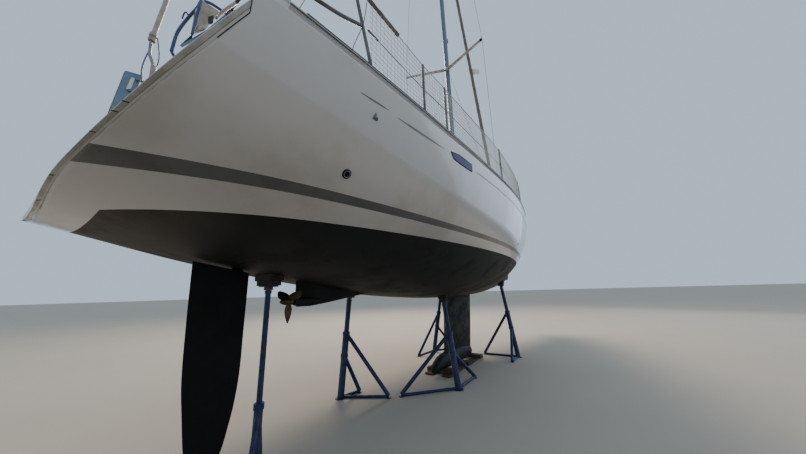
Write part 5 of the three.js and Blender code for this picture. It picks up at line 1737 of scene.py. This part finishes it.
@dataclass
class Helm:
    """Wheels, winches and small deck gear."""

    yard: Shipyard
    lines: Lines
    x: float = 1.56
    y: float = 0.78
    z: float = 1.4
    radius: float = 0.425

    def build(self) -> None:
        """Makes both wheels and the four winches."""
        for name, side in SIDES.items():
            self.wheel(name, side)
        for name, x, y, z in (("port", 2.6, 1.39, 1.432), ("starboard", 2.6, -1.39, 1.432),
                              ("roof_port", 4.35, 0.76, 1.715), ("roof_starboard", 4.35, -0.76, 1.715)):
            self.winch(name, x, y, z)

    def wheel(self, name: str, side: float) -> None:
        """Makes a wheel: a round rim of tube, five spokes and a hub, and the compass before it.

        Args:
            name: the side's name.
            side: 1 for port, -1 for starboard.
        """
        centre = np.array([self.x, side * self.y, self.z])
        turn, grip = angles(96)[:, None], 0.0145
        reach = self.radius + grip * np.cos(angles(16))
        grid = np.stack(np.broadcast_arrays(grip * np.sin(angles(16)), np.cos(turn) * reach,
                                            np.sin(turn) * reach), -1)
        rim = skin(np.concatenate([grid, grid[:1]]) + centre, wrap=True)
        out = [(0, math.cos(a), math.sin(a)) for a in angles(5) + math.pi / 2]
        spokes = [pipe([centre, centre + (self.radius - 0.004) * np.array(way)], 0.009) for way in out]
        hub = turned([(0.001, -0.036), (0.03, -0.034), (0.045, -0.024), (0.045, 0.026), (0.02, 0.032),
                      (0.018, 0.168), (0.001, 0.17)], centre, ALONG)
        dome = turned([(0.08, 0.0), (0.082, 0.012), (0.07, 0.045), (0.04, 0.07), (0.001, 0.078)],
                      (self.x + 0.26, side * self.y, 1.4905))
        wheel = f"wheel_{name}"
        self.yard.make(f"wheel_tubes_{name}", group(*spokes, hub), "stainless_tube", body=wheel,
                       instead=(wheel,))
        self.yard.make(f"wheel_grip_{name}", rim, "black_moulding_and_shade", body=wheel)
        self.yard.make(f"compass_{name}", dome, "smoked_acrylic")

    def winch(self, name: str, x: float, y: float, z: float) -> None:
        """Makes a winch: a waisted drum with ribs, a base ring and a self-tailing top.

        Args:
            name: which winch.
            x: its place along the hull.
            y: its place across it.
            z: the height of its foot.
        """
        side = [(0.001, 0.0), (0.075, 0.0), (0.076, 0.012), (0.07, 0.03), (0.055, 0.036), (0.049, 0.05)]
        ribs = [(0.046 + 0.0012 * (i % 2), 0.055 + 0.0045 * i) for i in range(12)]
        head = [(0.05, 0.112), (0.062, 0.118), (0.066, 0.125), (0.066, 0.131), (0.056, 0.134), (0.056, 0.138),
                (0.066, 0.141), (0.066, 0.148), (0.05, 0.154), (0.014, 0.155), (0.012, 0.146), (0.001, 0.146)]
        self.yard.make(f"winch_drum_{name}", turned(side + ribs + head, (x, y, z), sides=44),
                       "stainless_tube", instead=(f"winch_{name}",))


@dataclass
class Stand:
    """One yard stand: where its foot and head are, where its braces land, and how stout it is."""

    name: str
    foot: tuple[float, float]
    head: tuple[float, float]
    braces: tuple[tuple[float, float], ...]
    starts: tuple[float, ...] = (0.62, 0.4)  # how far up the post each brace starts
    post: float = 0.057
    tube: float = 0.044
    sleeve: float = 0.62
    brace: float = 0.034
    pad: tuple[float, float] = (0.08, 0.08)  # half length and half width
    tray: float = 0.07  # half width of the plate


@dataclass
class Yard:
    """The stands and the keel blocking."""

    yard: Shipyard
    lines: Lines
    ground: float = -2.14
    bar: tuple[float, float] = (0.024, 0.0245)  # radius and height of the bars on the ground
    timber: float = 0.11  # from a stand's plate up to the hull
    stands: tuple[Stand, ...] = (
        Stand("stern", (1.74, 0.0), (1.74, 0.0), ((2.0, 0.33), (1.48, -0.33)), (0.36, 0.36),
              0.042, 0.028, 0.36, 0.024, (0.075, 0.155)),
        Stand("port_aft", (3.72, 0.88), (3.86, 0.85), ((4.13, 0.17), (4.09, 0.79))),
        Stand("starboard_mid", (5.06, -0.69), (5.11, -0.475), ((4.28, 0.02), (5.85, -0.71))),
        Stand("port_fore", (7.78, 1.2), (7.78, 0.85), ((6.96, 1.25), (8.3, 0.8))),
        Stand("starboard_fore", (8.04, -1.1), (8.04, -0.85), ((8.02, -0.23), (7.45, -1.08))),
    )

    def build(self) -> None:
        """Makes every stand and the blocking."""
        for stand in self.stands:
            self.frame(stand)
            self.pads(stand)
        self.yard.refine("keel_blocking", "softwood", 4)

    def frame(self, stand: Stand) -> None:
        """Makes a stand's sleeve, post, screw with its nut, braces and ground bars.

        Args:
            stand: the stand.
        """
        base = np.array([*stand.foot, self.ground])
        top = np.array([*stand.head, self.plate(stand)])
        along = unit(top - base)
        (radius, high), post, tube, brace = self.bar, stand.post, stand.tube, stand.brace

        def at(part: float) -> np.ndarray:
            """Returns the point a part of the way up the post."""
            return base + part * (top - base)

        end, mouth = at(stand.sleeve), at(0.972)
        flange = post + 0.034
        parts = [pipe([at(0.009), end - along * 0.012, end], [post, post, post - 0.006], 28),
                 pipe([at(0.1), mouth], tube, 24),
                 turned([(0.001, 0.0), (flange, 0.0), (flange, 0.01), (post, 0.012), (0.001, 0.012)],
                        base + (0, 0, 0.0005), sides=28),
                 turned([(tube, -0.03), (tube + 0.008, -0.028), (tube + 0.008, 0.0), (0.024, 0.002)],
                        mouth, along, 24)]
        clip = [(post, -0.03), (post + 0.008, -0.028), (post + 0.008, 0.028), (post, 0.03)]
        for start, (x, y) in zip(stand.starts, stand.braces):
            foot = np.array([x, y, self.ground + high])
            parts += [pipe([at(start), (x, y, self.ground + brace)], brace, 18),
                      pipe([base + (0, 0, high), foot], radius, 18),
                      turned([(0.001, 0.0), (0.045, 0.0), (0.045, 0.008), (0.001, 0.009)],
                             (x, y, self.ground + 0.0005), sides=20),
                      turned(clip, at(start), along, 28)]
        self.yard.make(f"{stand.name}_stand_frame", group(*parts), "stand_enamel",
                       instead=(f"stand_{stand.name}",))
        free = float(np.linalg.norm(top - at(0.85)))
        steps = np.arange(int((free - 0.02) / 0.0045))
        thread = [(0.022 if i % 2 else 0.0195, -free + 0.004 + 0.0045 * float(i)) for i in steps]
        nut = [(0.024, 0.0), (0.046, 0.003), (0.046, 0.034), (0.024, 0.037)]
        screw = group(turned([(0.001, -free), *thread, (0.001, -0.008)], top, along, sides=20),
                      turned(nut, mouth + along * 0.003, along, sides=6))
        self.yard.make(f"{stand.name}_stand_screw", screw, "stand_screw_steel")

    def plate(self, stand: Stand) -> float:
        """Returns the height of a stand's plate, below the hull by the thickness of its timber."""
        return self.lines.under(*stand.head) - self.timber

    def pads(self, stand: Stand) -> None:
        """Makes a stand's plate and its two blocks of timber, the upper one cut to the hull.

        Args:
            stand: the stand.
        """
        (x, y), (long, wide), tray = stand.head, stand.pad, stand.tray
        plate, seam = self.plate(stand), self.plate(stand) + 0.0525
        sheet = block((x - tray, y - tray, plate - 0.012), (x + tray, y + tray, plate))
        lower = block((x - long * 0.86, y - wide * 0.84, plate + 0.0003),
                      (x + long * 0.86, y + wide * 0.84, plate + 0.052))
        u, v = np.meshgrid(np.linspace(-long, long, 9), np.linspace(-wide, wide, 13), indexing="ij")
        roof = [self.lines.under(x + a, abs(y + b)) for a, b in zip(u.ravel(), v.ravel())]
        upper = np.stack([x + u, y + v, np.maximum(np.reshape(roof, u.shape) - 0.002, plate + 0.06)], -1)
        rim = np.concatenate([upper[0], upper[1:, -1], upper[-1, -2::-1], upper[-2:0:-1, 0]])
        floor, low = upper.copy(), rim.copy()
        floor[..., 2] = low[:, 2] = seam
        form = group(skin(upper), skin(floor[:, ::-1]), skin(np.stack([low, rim]), wrap=True))
        self.yard.make(f"{stand.name}_stand_tray", sheet, "stand_enamel", edge=2)
        # the pads' timber is darkened with painted shade
        self.yard.make(f"{stand.name}_pad_low", lower, "pad_timber_painted_shade", edge=3)
        self.yard.make(f"{stand.name}_pad_high", form, "pad_timber_painted_shade", angle=30)


@dataclass
class Studio:
    """Camera, floor and soft light."""

    place: tuple[float, float, float] = (-0.025936, -2.922, -0.415)  # in boat coordinates
    yaw: float = 33.16
    pitch: float = 13.16
    roll: float = -1.56
    lens: float = 12.376
    sky: float = 1.09  # how bright the world is
    reach: float = 320.0  # half width of the floor

    def build(self) -> None:
        """Sets up the camera, the floor and the lights."""
        yaw, pitch, roll = (math.radians(a) for a in (self.yaw, self.pitch, self.roll))
        ahead = Vector((math.cos(pitch) * math.cos(yaw), math.cos(pitch) * math.sin(yaw), math.sin(pitch)))
        right = Vector((math.sin(yaw), -math.cos(yaw), 0.0))
        up = right.cross(ahead)
        c, s = math.cos(roll), math.sin(roll)
        right, up = right * c + up * s, up * c - right * s
        data = bpy.data.cameras.new("camera")
        data.lens, data.sensor_width = self.lens, 36.0
        data.clip_start, data.clip_end = 0.05, 900.0
        camera = bpy.data.objects.new("camera", data)
        turn = Matrix((right, up, -ahead)).transposed().to_4x4()
        camera.matrix_world = Matrix.Translation(Vector(LIFT + np.array(self.place))) @ turn
        bpy.context.scene.collection.objects.link(camera)
        bpy.context.scene.camera = camera
        self.floor()
        for name, spot, aim, size, power, tint in (
                ("sun_panel", (9.0, 9.0, 17.0), (0.0, 0.0, 3.0), 7.0, 3800.0, "fff3e2"),
                ("bow_panel", (16.0, -9.0, 10.0), (3.0, -1.0, 2.5), 15.0, 620.0, "d6e3ff")):
            self.light(name, spot, aim, size, power, tint)
        world = bpy.data.worlds.new("studio")
        world.use_nodes = True
        world.node_tree.nodes["Background"].inputs[0].default_value = linear("b9cbdd")
        world.node_tree.nodes["Background"].inputs[1].default_value = self.sky
        bpy.context.scene.world = world

    def floor(self) -> None:
        """Makes the plain pale floor."""
        nodes = Nodes("pale_floor")
        colour = nodes.blend(nodes.noise(2600, 4), linear("b9ae9f"), linear("aea394"))
        nodes.wire(Base_Color=colour, Roughness=0.95)
        mesh = bpy.data.meshes.new("floor")
        reach = self.reach
        corners = [(-reach, -reach, 0), (reach, -reach, 0), (reach, reach, 0), (-reach, reach, 0)]
        mesh.from_pydata(corners, [], [(0, 1, 2, 3)])
        mesh.materials.append(nodes.material)
        floor = bpy.data.objects.new("floor", mesh)
        bpy.context.scene.collection.objects.link(floor)

    def light(self, name: str, spot: tuple, aim: tuple, size: float, power: float, tint: str) -> None:
        """Hangs a soft square light panel.

        Args:
            name: its name.
            spot: where it hangs.
            aim: the point that it faces.
            size: its width in metres.
            power: its power in watts.
            tint: its colour.
        """
        data = bpy.data.lights.new(name, "AREA")
        data.size, data.energy = size, power
        data.color = linear(tint)[:3]
        lamp = bpy.data.objects.new(name, data)
        lamp.location = spot
        lamp.rotation_euler = (Vector(aim) - Vector(spot)).to_track_quat("-Z", "Y").to_euler()
        bpy.context.scene.collection.objects.link(lamp)


def main() -> None:
    """Builds the yacht, its stands and the studio in order."""
    logging.basicConfig(level=logging.INFO, format="%(name)s: %(message)s")
    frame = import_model()
    lines = Lines()
    Studio().build()
    yard = Shipyard(frame)
    for part in (Hull, Stern, Underbody, Topworks, Rails, Rig, Helm, Yard):
        part(yard, lines).build()
    left = sorted(set(yard.nodes) - yard.dressed)
    LOG.info("nodes without a dressed piece: %s", left)


if __name__ == "__main__":
    main()
